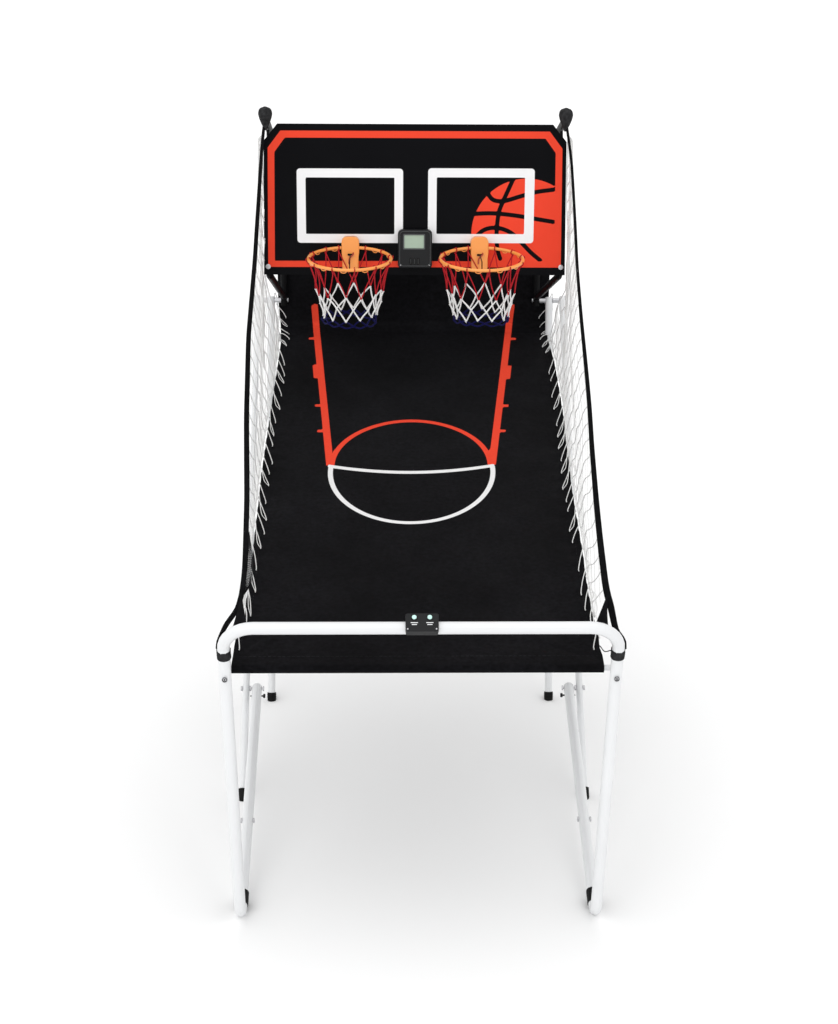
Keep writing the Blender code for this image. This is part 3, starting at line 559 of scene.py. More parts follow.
# ---------------------------------------------------------------- backboard
def make_board():
    """Thin film of printed laminate over the backboard's face."""
    pitch, inset = 0.004, 0.0008
    draw, chamfer_w, chamfer_h = 0.005, 0.041, 0.050
    rows = int((BOARD_H - 2 * inset) / pitch) + 1
    cols = int(2 * BOARD_HALF / pitch) + 1
    v = np.linspace(inset, BOARD_H - inset, rows)
    over = np.clip((v - (BOARD_H - chamfer_h)) / chamfer_h, 0.0, 1.0)
    drawn = draw * np.minimum(v / (BOARD_H - chamfer_h), 1.0)
    half = BOARD_HALF - inset - drawn - over * chamfer_w
    t = np.linspace(-1.0, 1.0, cols)
    u = half[:, None] * t[None, :]
    vv = np.repeat(v[:, None], cols, axis=1)
    lift = 0.0006
    grid = (np.array(BOARD_FOOT)[None, None] + u[..., None] * np.array((1.0, 0.0, 0.0))
            + vv[..., None] * np.array(BOARD_UP) + lift * np.array(BOARD_OUT))

    def frame_shape(side, low, high, cut_w, cut_h):
        across = np.abs(u) + draw * vv / BOARD_H
        lean = np.hypot(cut_w, cut_h)
        corner = ((across - side) * cut_h + (vv - (high - cut_h)) * cut_w) / lean
        return np.maximum.reduce([across - side, low - vv, vv - high, corner])

    outer = frame_shape(0.4440, 0.0235, 0.4275, 0.038, 0.050)
    inner = frame_shape(0.4240, 0.0420, 0.4070, 0.031, 0.042)
    band = np.maximum(outer, -inner)
    ball = np.maximum(np.hypot(u - 0.3355, vv - 0.1245) - 0.1650, outer)
    seams = ([(0.296, 0.292), (0.280, 0.256), (0.264, 0.220), (0.253, 0.190), (0.248, 0.150), (0.247, 0.110),
              (0.251, 0.075), (0.259, 0.050)],
             [(0.214, 0.262), (0.222, 0.240), (0.238, 0.225), (0.269, 0.223), (0.3155, 0.2365),
              (0.3625, 0.2495), (0.419, 0.2575)],
             [(0.160, 0.181), (0.190, 0.185), (0.238, 0.186), (0.300, 0.180), (0.363, 0.170), (0.424, 0.160)],
             [(0.180, 0.110), (0.199, 0.130), (0.218, 0.140), (0.243, 0.143), (0.269, 0.138), (0.296, 0.124),
              (0.327, 0.094), (0.353, 0.068), (0.381, 0.045)])
    line = np.minimum.reduce([to_segments(u, vv, smooth_path(s, 4)) for s in seams]) - 0.0064
    orange = np.minimum(band, np.maximum(ball, -line))
    windows = (((-0.3545, -0.0362, 0.0963, 0.3172), (-0.3283, -0.0620, 0.1230, 0.2907)),
               ((0.0390, 0.3585, 0.0968, 0.3190), (0.0648, 0.3300, 0.1240, 0.2922)))
    white = np.minimum.reduce([np.maximum(to_box(u, vv, *rim, 0.010), -to_box(u, vv, *hole, 0.001))
                               for rim, hole in windows])
    film = shell("board_print_film", grid, 0.0004, "board", {"print_orange": orange, "print_white": white})
    place(film, STAND, "board_laminate")


# ---------------------------------------------------------------- hoops and their nets
HOOP_WIRE = 0.0048
HOOP_R = 0.1218
HOOP_DROOP = math.radians(5.3)
NET_COLUMNS = 12
NET_PHASE = 0.13
NET_DEPTH = 0.187
BRACKET_REACH = 0.0355
BRACKET_FACE = 0.0366


def hoop_centre(side):
    low, high = box("hoop_" + side)
    rise = HOOP_R * math.sin(HOOP_DROOP)
    return Vector(((low.x + high.x) / 2, low.y + HOOP_R * math.cos(HOOP_DROOP) + HOOP_WIRE,
                   low.z + HOOP_WIRE + rise))


def on_hoop(centre, turn, radius=HOOP_R, droop=1.0):
    """A place on the drooping hoop's circle. droop fades the tilt out."""
    return np.array(centre) + np.array((math.cos(turn), math.sin(turn) * math.cos(HOOP_DROOP),
                                        math.sin(turn) * math.sin(HOOP_DROOP) * droop)) * radius


def clear_of_bracket(turn):
    """The turn moved sideways where the bracket stands in the way."""
    if math.sin(turn) < 0 or abs(math.cos(turn)) * HOOP_R > BRACKET_REACH:
        return turn
    return math.acos(math.copysign(BRACKET_REACH / HOOP_R, math.cos(turn)))


def net_radius(drop):
    """Radius of the hanging net at a depth below the hoop."""
    part = min(max(drop / NET_DEPTH, 0.0), 1.0)
    return HOOP_R * (1 - part) ** 1.35 + (0.080 + 0.012 * (1 - part)) * (1 - (1 - part) ** 1.35)


def make_hoop_net(side):
    """Knotted net: a red row, two white rows and a navy row, hung on loops round the hoop's wire."""
    rng = random.Random(11 if side == "left" else 23)
    centre = hoop_centre(side)
    bottom = centre.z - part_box("hoop_net_" + side)[0][2]
    levels = (0.010, 0.098, 0.134, 0.170, bottom - 0.006)
    tubes = Tubes()
    wobbles = [[(rng.uniform(-0.006, 0.006) * (row > 0), rng.uniform(-0.005, 0.004) * (row > 0),
                 rng.uniform(-0.045, 0.045) * (row > 0)) for _ in range(NET_COLUMNS)]
               for row in range(len(levels))]

    def knot_place(row, column):
        """A knot in the given row. Odd rows sit half a column round."""
        turn = math.tau * (column + 0.5 * (row % 2)) / NET_COLUMNS + NET_PHASE
        if row == 0:
            turn = clear_of_bracket(turn)
        lower, wider, further = wobbles[row][column]
        drop = levels[row] + lower
        knot = on_hoop(centre, turn + further, net_radius(drop) + wider, 1.0 - levels[row] / levels[-1])
        return knot - np.array((0.0, 0.0, drop))

    def strand(a, b, mark, radius, slack):
        a, b = np.array(a), np.array(b)
        middle_point = (a + b) / 2
        inward = np.array(centre) - middle_point
        inward[2] = 0.0
        inward /= max(np.linalg.norm(inward), 1e-9)
        sway = np.array((rng.uniform(-1, 1), rng.uniform(-1, 1), rng.uniform(-0.6, 0.2))) * slack * 0.5
        bent = middle_point + inward * slack + sway
        tubes.tube(smooth_path([a, bent, b], 4), radius, 6, mark)

    # hanging loops round the hoop wire
    for column in range(NET_COLUMNS):
        turn = clear_of_bracket(math.tau * column / NET_COLUMNS + NET_PHASE)
        out = np.array((math.cos(turn), math.sin(turn), 0.0))
        ring = on_hoop(centre, turn)
        hook = [ring + out * math.cos(a) * 0.0072 + np.array((0, 0, 1)) * math.sin(a) * 0.0072
                for a in (math.radians(100 + 300 * k / 12) for k in range(13))]
        tubes.tube(hook, 0.0018, 6)
        tubes.knot(ring + np.array((0, 0, -0.0098)), 0.0034)

    rows = [[knot_place(r, c) for c in range(NET_COLUMNS)] for r in range(len(levels))]
    for r, (mark, radius, slack) in enumerate(((0, 0.0018, 0.004), (1, 0.0023, 0.002), (1, 0.0023, 0.002),
                                               (2, 0.0025, 0.002))):
        for c in range(NET_COLUMNS):
            for end in (rows[r][c], rows[r][(c + (1, -1)[r % 2]) % NET_COLUMNS]):
                strand(end, rows[r + 1][c], mark, radius, slack)
    for r in range(1, len(levels)):
        for c in range(NET_COLUMNS):
            tubes.knot(rows[r][c], 0.0042 if r > 1 else 0.0034, (0, 1, 1, 1, 2)[r])
    # navy fringe: a sagging cord from each bottom knot to the next
    for c in range(NET_COLUMNS):
        a, b = rows[-1][c], rows[-1][(c + 1) % NET_COLUMNS]
        low = (a + b) / 2 + np.array((0, 0, -0.007))
        tubes.tube(smooth_path([a, low, b], 5), 0.0026, 6, 2)
    net = tubes.build("hoop_net_cords_" + side, ["cord_red", "cord_white", "cord_navy"])
    place(net, STAND, "net_cord", "hoop_net_" + side)


def make_hoop_details(side):
    """Net hooks under the hoop wire, and the bent hook on its bracket, in a darker red that paints the shade
    on its curl.
    """
    centre = hoop_centre(side)
    tubes = Tubes()
    for k in range(NET_COLUMNS):
        turn = math.tau * (k + 0.5) / NET_COLUMNS + NET_PHASE
        if clear_of_bracket(turn) != turn:
            continue
        start = on_hoop(centre, turn)
        aside = np.array((-math.sin(turn), math.cos(turn), 0.0))
        arc = [start + aside * 0.0090 * math.cos(a) + np.array((0, 0, -1)) * (0.003 + 0.0055 * math.sin(a))
               for a in np.linspace(0.0, math.pi, 9)]
        tubes.tube(arc, 0.0014, 6)
    low, high = box("hoop_bracket_" + side)
    x = (low.x + high.x) / 2
    # the bracket's curled hook, drawn in the darker red of painted shade
    route = ((0.009, 0.071, 0.000), (0.008, 0.066, 0.004), (0.002, 0.060, 0.006), (-0.003, 0.053, 0.006),
             (-0.004, 0.045, 0.005), (-0.004, 0.038, 0.003))
    tubes.tube(smooth_path([on_board(x + u, v, BRACKET_FACE + w) for u, v, w in route], 6), 0.0021, 8, 1)
    hooks = tubes.build("hoop_hooks_" + side, ["orange", "hook"])
    place(hooks, STAND, "orange_paint")


# ---------------------------------------------------------------- scoreboard and control box
CASE_FACE = 0.0303
CONTROL_FACE = 0.0243
BUTTON_X, BUTTON_UP, COLLAR_R = 0.0194, 0.0192, 0.0078
SCREW_SINK = 0.0006


def make_scoreboard():
    """Bezel round the display, a bead round the case in lighter grey as a painted highlight, three keys with
    their marks, and two screws.
    """
    low, high = box("scoreboard_lens")
    lens = middle("scoreboard_lens")
    width, height = high.x - low.x, (high.z - low.z) / math.cos(BOARD_LEAN)
    outer = rounded(width + 0.006, height + 0.006, 0.003)
    inner = rounded(width - 0.001, height - 0.001, 0.002)
    n = len(outer)
    origin = on_board(lens.x, (lens - BOARD_FOOT).dot(BOARD_UP), CASE_FACE)
    verts = [origin + X_AXIS * a + BOARD_UP * b for a, b in outer + inner]
    verts += [p + BOARD_OUT * 0.0012 for p in verts]
    faces = []
    for k in range(n):
        m = (k + 1) % n
        faces += [(k, m, n + m, n + k), (2 * n + k, 3 * n + k, 3 * n + m, 2 * n + m),
                  (k, 2 * n + k, 2 * n + m, m), (n + k, n + m, 3 * n + m, 3 * n + k)]
    place(mesh_object("scoreboard_bezel", verts, faces, ["bezel"]), STAND, "dark_plastic")

    case_low, case_high = box("scoreboard_case")
    case_v = ((case_low.z - BOARD_FOOT.z) / math.cos(BOARD_LEAN) + case_high.z - BOARD_FOOT.z) / 2
    edge = rounded(case_high.x - case_low.x - 0.011, case_high.z - case_low.z - 0.013, 0.011)
    # the bead takes the bezel's lighter grey: a painted highlight along the case's edge
    rim = Tubes()
    rim.tube([np.array(on_board(a, case_v + b, CASE_FACE)) for a, b in edge], 0.0008, 6, closed=True)
    place(rim.build("scoreboard_rim_highlight_bead", ["bezel"]), STAND, "dark_plastic")

    parts = []
    key_h, key_depth = 0.0215, 0.0011
    for k, (u, wide) in enumerate(((-0.0125, 0.0085), (-0.0010, 0.0050), (0.0095, 0.0085))):
        key_at = on_board(u, 0.0450, CASE_FACE)
        parts.append(plate(rounded(wide, key_h, wide * 0.42, 4), key_at, BOARD_UP, BOARD_OUT, key_depth,
                           f"key{k}", "rubber", 0.0004))
        parts.append(plate(rounded(0.0011, 0.0150, 0.0005, 2), key_at + BOARD_OUT * key_depth, BOARD_UP,
                           BOARD_OUT, 0.0004, f"mark{k}", "bezel"))
    place(join("scoreboard_keys", parts), STAND, "dark_plastic")
    screws = Tubes()
    for u in (-0.043, 0.043):
        screws.screw(on_board(u, 0.033, CASE_FACE - SCREW_SINK), BOARD_OUT, 0.0024, 0.0010)
    place(screws.build("scoreboard_screws", ["steel"]), STAND, "zinc_steel")


def make_control_box():
    """Two printed bars under each button, a collar round each button, and two screws."""
    parts = []
    for side, sign in SIDES:
        for row, width in ((0.0045, 0.018), (-0.0005, 0.013)):
            origin = on_control_box(sign * BUTTON_X, row, CONTROL_FACE)
            parts.append(plate(rounded(width, 0.0021, 0.0006, 2), origin, BOX_UP, BOX_OUT, 0.0003,
                               f"bar{side}{row}", "ink"))
    place(join("control_label_bars", parts), FRONT, "button_plastic")
    parts = []
    for side, sign in SIDES:
        ring = Tubes()
        centre = on_control_box(sign * BUTTON_X, BUTTON_UP, CONTROL_FACE)
        ring.tube(circle(centre, COLLAR_R, 24, v=BOX_UP), 0.0009, 6, closed=True)
        parts.append(ring.build("ring" + side, ["plastic"]))
    place(join("control_button_collars", parts), FRONT, "dark_plastic")
    screws = Tubes()
    for x in (-0.036, 0.036):
        screws.screw(on_control_box(x, -0.012, CONTROL_FACE - SCREW_SINK), BOX_OUT, 0.0021, 0.0011)
    place(screws.build("control_box_screws", ["steel"]), FRONT, "zinc_steel")


# ---------------------------------------------------------------- ramp fabric
SLOPE = math.atan2(REAR_BAR.z - HEM.z, REAR_BAR.y - HEM.y)
ALONG = Vector((0.0, math.cos(SLOPE), math.sin(SLOPE)))
ABOVE = Vector((0.0, -math.sin(SLOPE), math.cos(SLOPE)))
RAMP_LENGTH = (REAR_BAR - HEM).length
CLOTH_T = 0.0012


def left_edge(s):
    return -np.interp(s, [0.0, 0.06, 0.12, 0.155, 0.22, 0.33, 0.75, 0.94, 1.31, 1.60, 1.84, 1.95, 2.05, 2.4],
                      [0.487, 0.485, 0.483, 0.474, 0.468, 0.465, 0.465, 0.466, 0.460, 0.453, 0.450, 0.456,
                       0.464, 0.466])


def right_edge(s):
    return np.interp(s, [0.0, 0.035, 0.07, 0.10, 0.14, 0.20, 0.36, 0.50, 0.88, 1.31, 1.70, 1.86, 1.95, 2.05,
                         2.4],
                     [0.473, 0.473, 0.468, 0.470, 0.474, 0.463, 0.464, 0.468, 0.471, 0.486, 0.488, 0.480,
                      0.480, 0.488, 0.490])


def ramp_profile():
    """Side view of the cloth from its hem, over both bars and up the back, with the distance along it."""
    hem_r, bar_r = HEM_R + 0.0042, REAR_BAR_R + 0.0012
    points, places = [], []
    for t in np.linspace(0.060, 0.004, 5):
        points.append(HEM + ALONG * t - ABOVE * (hem_r * (1 - 0.12 * t / 0.06)))
        places.append(-0.035 - t)
    for a in np.linspace(-math.pi / 2, -1.5 * math.pi, 13):
        points.append(HEM + (ALONG * math.cos(a) + ABOVE * math.sin(a)) * hem_r)
        places.append(-0.035 + 0.035 * (-a - math.pi / 2) / math.pi)
    for t in np.linspace(0.0, 1.0, 290)[1:]:
        sag = -0.010 * math.sin(math.pi * t) ** 1.2
        rise = hem_r + (bar_r - hem_r) * t + sag
        points.append(HEM + ALONG * (RAMP_LENGTH * t) + ABOVE * rise)
        places.append(RAMP_LENGTH * t)
    back_y = box("rear_leg_left")[1].y + 0.0014
    start = points[-1].copy()
    corner = [(start.y, start.z), (start.y + 0.022, start.z + 0.006), (back_y - 0.006, start.z + 0.026),
              (back_y, start.z + 0.055)]
    curve = smooth_path([(y, z, 0.0) for y, z in corner], 5)[1:]
    run = RAMP_LENGTH
    last = Vector((0.0, start.y, start.z))
    for y, z, _ in curve:
        here = Vector((0.0, y, z))
        run += (here - last).length
        points.append(here)
        places.append(run)
        last = here
    top_z = box("back_panel")[1].z
    for z in np.linspace(last.z, top_z, 18)[1:]:
        run += z - last.z
        last = Vector((0.0, back_y, z))
        points.append(last)
        places.append(run)
    return points, np.array(places)


COURT_START, ARC_START = 1.02, 1.018


def court_print(x, s, top):
    """Distance to the edge of the printed court marks, orange then white."""
    x = x - (-0.010 + 0.020 * (s - COURT_START))
    side = np.abs(x)
    centre = 0.2495 + (0.3475 - 0.2495) * (s - COURT_START) / (top - COURT_START)
    marks = [np.maximum(np.abs(side - centre) - 0.0115, np.maximum(ARC_START - s, s - top))]
    for at_s, out, half_w, half_l in ((1.868, 0.020, 0.010, 0.008), (1.396, 0.020, 0.010, 0.008),
                                      (1.231, 0.020, 0.010, 0.008), (1.630, 0.016, 0.009, 0.046)):
        marks.append(np.maximum(np.abs(side - centre - out) - half_w, np.abs(s - at_s) - half_l))
    arc = np.abs(to_ellipse(x, s, 0.0, 1.022, 0.244, 0.272)) - 0.0085
    marks.append(np.maximum(arc, ARC_START - s))
    line_s = 0.974 + 0.040 * (side / 0.25) ** 2
    line = np.maximum(np.abs(s - line_s) - 0.0085, side - 0.2555)
    bowl = np.abs(to_ellipse(x, s, 0.002, 0.988, 0.2485, 0.303)) - 0.0075
    white = np.minimum(line, np.maximum(bowl, s - line_s))
    return np.minimum.reduce(marks), white


STITCH_R, STITCH_LIFT = 0.00045, np.array(ABOVE) * 0.0007


def make_ramp():
    """The ramp's cloth with its court print, and the stitching along its hems."""
    profile, s = ramp_profile()
    cols = 131
    t = np.linspace(0.0, 1.0, cols)
    left, right = left_edge(s), right_edge(s)
    x = left[:, None] + (right - left)[:, None] * t[None, :]
    grid = np.zeros((len(profile), cols, 3))
    grid[:, :, 0] = x
    grid[:, :, 1] = np.array([p.y for p in profile])[:, None]
    grid[:, :, 2] = np.array([p.z for p in profile])[:, None]

    # soft creases: long diagonal pulls from the corners, and a slow billow
    ss = np.repeat(s[:, None], cols, axis=1)
    free = np.clip(ss / 0.20, 0.0, 1.0) * np.clip((RAMP_LENGTH - 0.05 - ss) / 0.25, 0.0, 1.0)
    billow = 0.0035 * np.sin(2.2 * ss + 1.7 * x) * np.cos(3.1 * x - 0.8 * ss)
    pulls = np.zeros_like(billow)
    rng = np.random.default_rng(5)
    for sign in (-1, 1):
        for corner_s, size_m in ((0.02, 0.0026), (RAMP_LENGTH, 0.0030)):
            du, dv = x - sign * 0.48, ss - corner_s
            reach = np.hypot(du, dv)
            angle = np.arctan2(dv * (1 if corner_s < 1 else -1), -sign * du)
            wave = sum(rng.uniform(0.5, 1.0) * np.cos(k * angle + rng.uniform(0, 6.28)) for k in (9, 14, 19))
            pulls += size_m * wave * np.exp(-reach / 0.30) * np.clip(reach / 0.06, 0.0, 1.0)
    edge = np.minimum(x - left[:, None], right[:, None] - x)
    curl = 0.010 * np.exp(-edge / 0.010) * free
    scallop = 0.0035 * np.cos(math.tau * ss / 0.068) * np.exp(-edge / 0.022) * free
    rise = (billow + pulls) * free + curl + scallop
    grid[:, :, 1] += rise * ABOVE.y
    grid[:, :, 2] += rise * ABOVE.z
    back = ss > RAMP_LENGTH + 0.10
    grid[:, :, 1] += np.where(back, 0.0022 * (1 + np.sin(21 * x) * np.cos(9 * ss)), 0.0)

    top = float(np.interp(box("rear_leg_left")[1].z - 0.032, [p.z for p in profile[-20:]], s[-20:]))
    orange, white = court_print(x, ss, top)
    hidden = ss < 0.02
    orange, white = np.where(hidden, 1.0, orange), np.where(hidden, 1.0, white)
    sheet = shell("ramp_cloth", grid, CLOTH_T, "court", {"print_orange": orange, "print_white": white})
    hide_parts("ramp_fabric", "back_panel")
    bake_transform(sheet)

    # stitches of the side hems, then of the front hem
    cloth = grid, s, x
    stitches = Tubes()
    for sign, edge_of in ((-1, left_edge), (1, right_edge)):
        for a in np.arange(0.05, RAMP_LENGTH - 0.03, 0.016):
            stitches.tube([ramp_point(float(edge_of(b)) - sign * 0.016, b, cloth) + STITCH_LIFT
                           for b in (a, a + 0.009)], STITCH_R, 4)
    for a in np.arange(-0.470, 0.465, 0.0125):
        stitches.tube([ramp_point(b, 0.034, cloth) + STITCH_LIFT for b in (a, a + 0.0075)], STITCH_R, 4)
    thread = stitches.build("ramp_stitching", ["pouch"])
    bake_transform(thread)
    return cloth


def ramp_point(px, ps, cloth):
    """The cloth's middle surface at a place across and along it."""
    grid, s, x = cloth
    row = int(np.clip(np.searchsorted(s, ps), 1, len(s) - 1))
    part = (ps - s[row - 1]) / max(s[row] - s[row - 1], 1e-9)
    found = [np.array([np.interp(px, x[r], grid[r, :, k]) for k in range(3)]) for r in (row - 1, row)]
    return found[0] * (1 - part) + found[1] * part


# ---------------------------------------------------------------- side nets, their edge straps and lacing
CORD_R, MESH_R, EYELET_R, SOCKET_R = 0.0015, 0.00055, 0.0042, 0.0021 * 0.55
STRAP_SAG = ((0.0, 0.0), (0.06, -0.004), (0.2, -0.012), (0.4, -0.022), (0.6, -0.026), (0.76, -0.025),
             (0.86, -0.020), (0.925, -0.014), (0.97, -0.005), (1.0, 0.0))
STRAP_OUT = {"left": ((0.0, 0.446), (0.03, 0.449), (0.07, 0.4514), (0.14, 0.4538), (0.20, 0.4566),
                      (0.27, 0.459), (0.34, 0.464), (0.42, 0.4696), (0.575, 0.467), (0.724, 0.4577),
                      (0.852, 0.456), (0.907, 0.462), (0.93, 0.474), (0.953, 0.489), (0.974, 0.506),
                      (1.0, 0.5195)),
             "right": ((0.0, 0.446), (0.03, 0.450), (0.07, 0.4544), (0.14, 0.455), (0.21, 0.455),
                       (0.28, 0.454), (0.38, 0.4575), (0.48, 0.4635), (0.556, 0.467), (0.63, 0.467),
                       (0.725, 0.470), (0.80, 0.474), (0.89, 0.481), (0.914, 0.488), (0.942, 0.496),
                       (0.97, 0.508), (0.985, 0.5145), (1.0, 0.5195))}
STRAP_HALF = {"left": ((0.0, 0.0045), (0.08, 0.0055), (0.3, 0.0065), (0.6, 0.0075), (0.9, 0.007),
                       (0.96, 0.005), (1.0, 0.004)),
              "right": ((0.0, 0.0040), (0.3, 0.0045), (0.6, 0.0070), (0.85, 0.0095), (0.93, 0.007),
                        (1.0, 0.004))}
STRAP_STEPS = 80
STRAP_END = 0.90
ROPE_LIFT = 0.016
STRAP_FOOT = {"left": ((-0.4945, -0.890, 0.897), (-0.5055, -0.914, 0.882), (-0.5140, -0.938, 0.867),
                      (-0.5162, -0.9535, 0.853)),
              "right": ((0.4998, -0.8922, 0.880), (0.5115, -0.9182, 0.868), (0.5165, -0.938, 0.862),
                        (0.5170, -0.9535, 0.850))}


def table(rows, part):
    return np.interp(part, [row[0] for row in rows], [row[1] for row in rows])


def strap_path(side, sign):
    """Edge strap of the side net: from the pocket over the arm's tip down to the front coupler."""
    pocket, coupler = middle("net_pocket_" + side), middle("bar_coupler_" + side)
    top = np.array((0.0, pocket.y - 0.004, box("net_pocket_" + side)[0].z + 0.006))
    end = np.array((0.0, coupler.y + 0.004, coupler.z + 0.010))
    part = np.linspace(0.0, 1.0, STRAP_STEPS + 1)
    line = top[None, :] + (end - top)[None, :] * part[:, None]
    line[:, 0] = sign * table(STRAP_OUT[side], part)
    line[:, 2] += table(STRAP_SAG, part)
    for column in (0, 2):
        soft = line[:, column].copy()
        for _ in range(3):
            soft[1:-1] = (soft[:-2] + 2 * soft[1:-1] + soft[2:]) / 4
        line[:, column] = soft
    whole = line[:round(0.93 * len(line))]
    foot = smooth_path([whole[-3], whole[-1]] + [np.array(point) for point in STRAP_FOOT[side]], 3)
    return np.concatenate([whole[:-3], foot])


def net_outline(strap):
    """Side view of the net: along the ramp's edge, up the lower arm and the board, then down the strap."""
    corners = (HEM + ALONG * 0.20 + ABOVE * ROPE_LIFT, REAR_BAR - ALONG * 0.015 + ABOVE * 0.018,
               on_board(0.0, 0.004, -0.004), on_board(0.0, BOARD_H - 0.02, -0.004))
    return [(p.y, p.z) for p in corners] + [(p[1], p[2]) for p in strap[2:round(STRAP_END * STRAP_STEPS):4]]


def inside(outline, y, z):
    """Whether a place in the side view lies inside the outline."""
    found = False
    for (yi, zi), (yj, zj) in zip(outline, outline[-1:] + outline[:-1]):
        if (zi > z) != (zj > z) and y < (yj - yi) * (z - zi) / (zj - zi) + yi:
            found = not found
    return found


def make_side_net(side, sign, cloth):
    """Diamond net from the ramp's edge up to the strap, with its lacing and its loose gathers."""
    rng = random.Random(31 if side == "left" else 47)
    strap = strap_path(side, sign)
    outline = net_outline(strap)
    order = np.argsort(strap[:, 1])
    strap_y, strap_x, strap_z = strap[order, 1], strap[order, 0], strap[order, 2]
    edge_of = left_edge if sign < 0 else right_edge

    def surface(y, z):
        """X of the net at a place in the side view: from the ramp's edge up to the strap."""
        along = (Vector((0.0, y, z)) - HEM).dot(ALONG)
        foot_x = float(edge_of(np.clip(along, 0.05, RAMP_LENGTH - 0.12))) + sign * 0.006
        foot_z = HEM.z + (y - HEM.y) * math.tan(SLOPE) + ROPE_LIFT
        head_x = float(np.interp(y, strap_y, strap_x))
        head_z = float(np.interp(y, strap_y, strap_z))
        part = min(max((z - foot_z) / max(head_z - foot_z, 0.05), 0.0), 1.0)
        near = math.exp(-((y - strap_y[-1]) / 0.18) ** 2)
        level = foot_x + (head_x - foot_x) * part ** 1.1
        billow = 0.010 * math.sin(9.0 * y + 2.0) * math.sin(7.0 * z + sign) * math.sin(math.pi * part)
        clear = sign * 0.470
        return level * (1 - near * 0.4) + clear * near * 0.4 + billow

    mesh_pitch, step = 0.050, 0.0125
    tubes = Tubes()
    rot = math.radians(45.0) + SLOPE
    low_y, high_y = min(p[0] for p in outline), max(p[0] for p in outline)
    low_z, high_z = min(p[1] for p in outline), max(p[1] for p in outline)
    centre = np.array(((low_y + high_y) / 2, (low_z + high_z) / 2))
    reach = math.hypot(high_y - low_y, high_z - low_z) / 2
    count = int(reach / mesh_pitch) + 1

    def wander(p):
        y, z = p
        return p + np.array((0.006 * math.sin(31 * z + 13 * y), 0.006 * math.sin(27 * y - 17 * z)))

    def on_net(y, z):
        return np.array((surface(y, z), y, z))

    def cord(points):
        if len(points) > 2:
            tubes.tube(points, CORD_R, 4)

    for angle in (rot, rot + math.radians(90.0)):
        run = np.array((math.cos(angle), math.sin(angle)))
        over = np.array((-run[1], run[0]))
        for k in range(-count, count + 1):
            current = []
            for t in np.arange(-reach, reach, step):
                p = wander(centre + over * k * mesh_pitch + run * t)
                if inside(outline, *p):
                    current.append(on_net(*p))
                else:
                    cord(current)
                    current = []
            cord(current)
    run = np.array((math.cos(rot), math.sin(rot)))
    over = np.array((-run[1], run[0]))
    for i in range(-count, count + 1):
        for j in range(-count, count + 1):
            p = wander(centre + over * i * mesh_pitch + run * j * mesh_pitch)
            if inside(outline, *p):
                tubes.knot(on_net(*p), 0.0032)

    # rope along the net's edges at the ramp, the lower arm and the board
    for a, b in zip(outline, outline[1:4]):
        pieces = max(int(math.hypot(b[0] - a[0], b[1] - a[1]) / 0.03), 2)
        tubes.tube([on_net(a[0] + (b[0] - a[0]) * t, a[1] + (b[1] - a[1]) * t)
                    for t in np.linspace(0.0, 1.0, pieces)], 0.0017, 6)
    net = tubes.build("side_net_cords_" + side, ["cord_white"])
    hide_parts("side_net_" + side)
    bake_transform(net)

    make_lacing(side, sign, cloth, rng)
    make_gathers(side, sign, strap, rng)
    return strap


def make_lacing(side, sign, cloth, rng):
    """Twin ropes along the ramp's edge, and hooks of cord from them down through eyelets in the cloth."""
    edge_of = left_edge if sign < 0 else right_edge
    lacing = Tubes()
    top_s = float(cloth[1][-1]) - 0.16

    def on_cloth(at_s, inwards):
        return ramp_point(float(edge_of(at_s)) - sign * inwards, at_s, cloth)

    def rope(at_s, off, lift):
        if at_s < RAMP_LENGTH - 0.06:
            place_at = HEM + ALONG * at_s + ABOVE * (lift + ROPE_LIFT)
            return np.array((float(edge_of(at_s)) + sign * off, place_at.y, place_at.z))
        return on_cloth(at_s, 0.001) + np.array((sign * off, -0.010 - lift * 0.3, 0.0))

    for k in range(2):
        line = []
        for at_s in np.arange(0.10, top_s, 0.014):
            off = 0.006 + 0.006 * k + 0.0045 * math.sin(at_s * 46 + 2.4 * k) + 0.003 * math.sin(at_s * 91 + k)
            lift = 0.006 + 0.010 * k + 0.005 * math.cos(at_s * 38 + 3 * k)
            line.append(rope(at_s, off, lift))
        lacing.tube(line, CORD_R, 6)

    at_s = 0.17
    while at_s < top_s:
        if at_s < 0.62:
            pitch, drop, reach = 0.098, 0.135, 0.017
        elif at_s < RAMP_LENGTH - 0.12:
            pitch, drop, reach = 0.078, 0.098, 0.024
        else:
            pitch, drop, reach = 0.047, 0.046, 0.025
        drop *= rng.uniform(0.8, 1.2)
        reach *= rng.uniform(0.8, 1.15)
        low_s = max(at_s - drop, 0.06)
        eyelet = on_cloth(low_s, reach)
        up = np.array(ABOVE) if low_s < RAMP_LENGTH - 0.03 else np.array((0.0, -1.0, 0.0))
        start = rope(at_s, 0.008, 0.010)
        bulge = on_cloth(at_s * 0.45 + low_s * 0.55, reach * 0.55) + up * 0.007
        elbow_x = float(edge_of(low_s)) - sign * reach * 0.98
        elbow = ramp_point(elbow_x, low_s + drop * 0.10, cloth) + up * 0.0032
        path = [start, (start + bulge) / 2 + up * 0.004, bulge, elbow,
                eyelet + up * 0.0022, eyelet - up * 0.0025]
        lacing.tube(smooth_path(path, 5), 0.0014, 6)
        ring = circle(eyelet + up * 0.0016, EYELET_R, 12, v=np.cross(X_AXIS, up))
        lacing.tube(ring, 0.0010, 5, 1, closed=True)
        if rng.random() < 0.3:
            other = rope(at_s + drop * rng.uniform(-0.2, 0.5), 0.003, 0.014)
            aside = on_cloth(low_s + drop * 0.25, reach * 0.45) + up * 0.006
            path = [other, (other + aside) / 2 + up * 0.003, aside, eyelet + up * 0.003]
            lacing.tube(smooth_path(path, 5), 0.0012)
        at_s += pitch * rng.uniform(0.86, 1.14)
    lace = lacing.build("ramp_lacing_" + side, ["cord_white", "webbing"])
    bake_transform(lace)


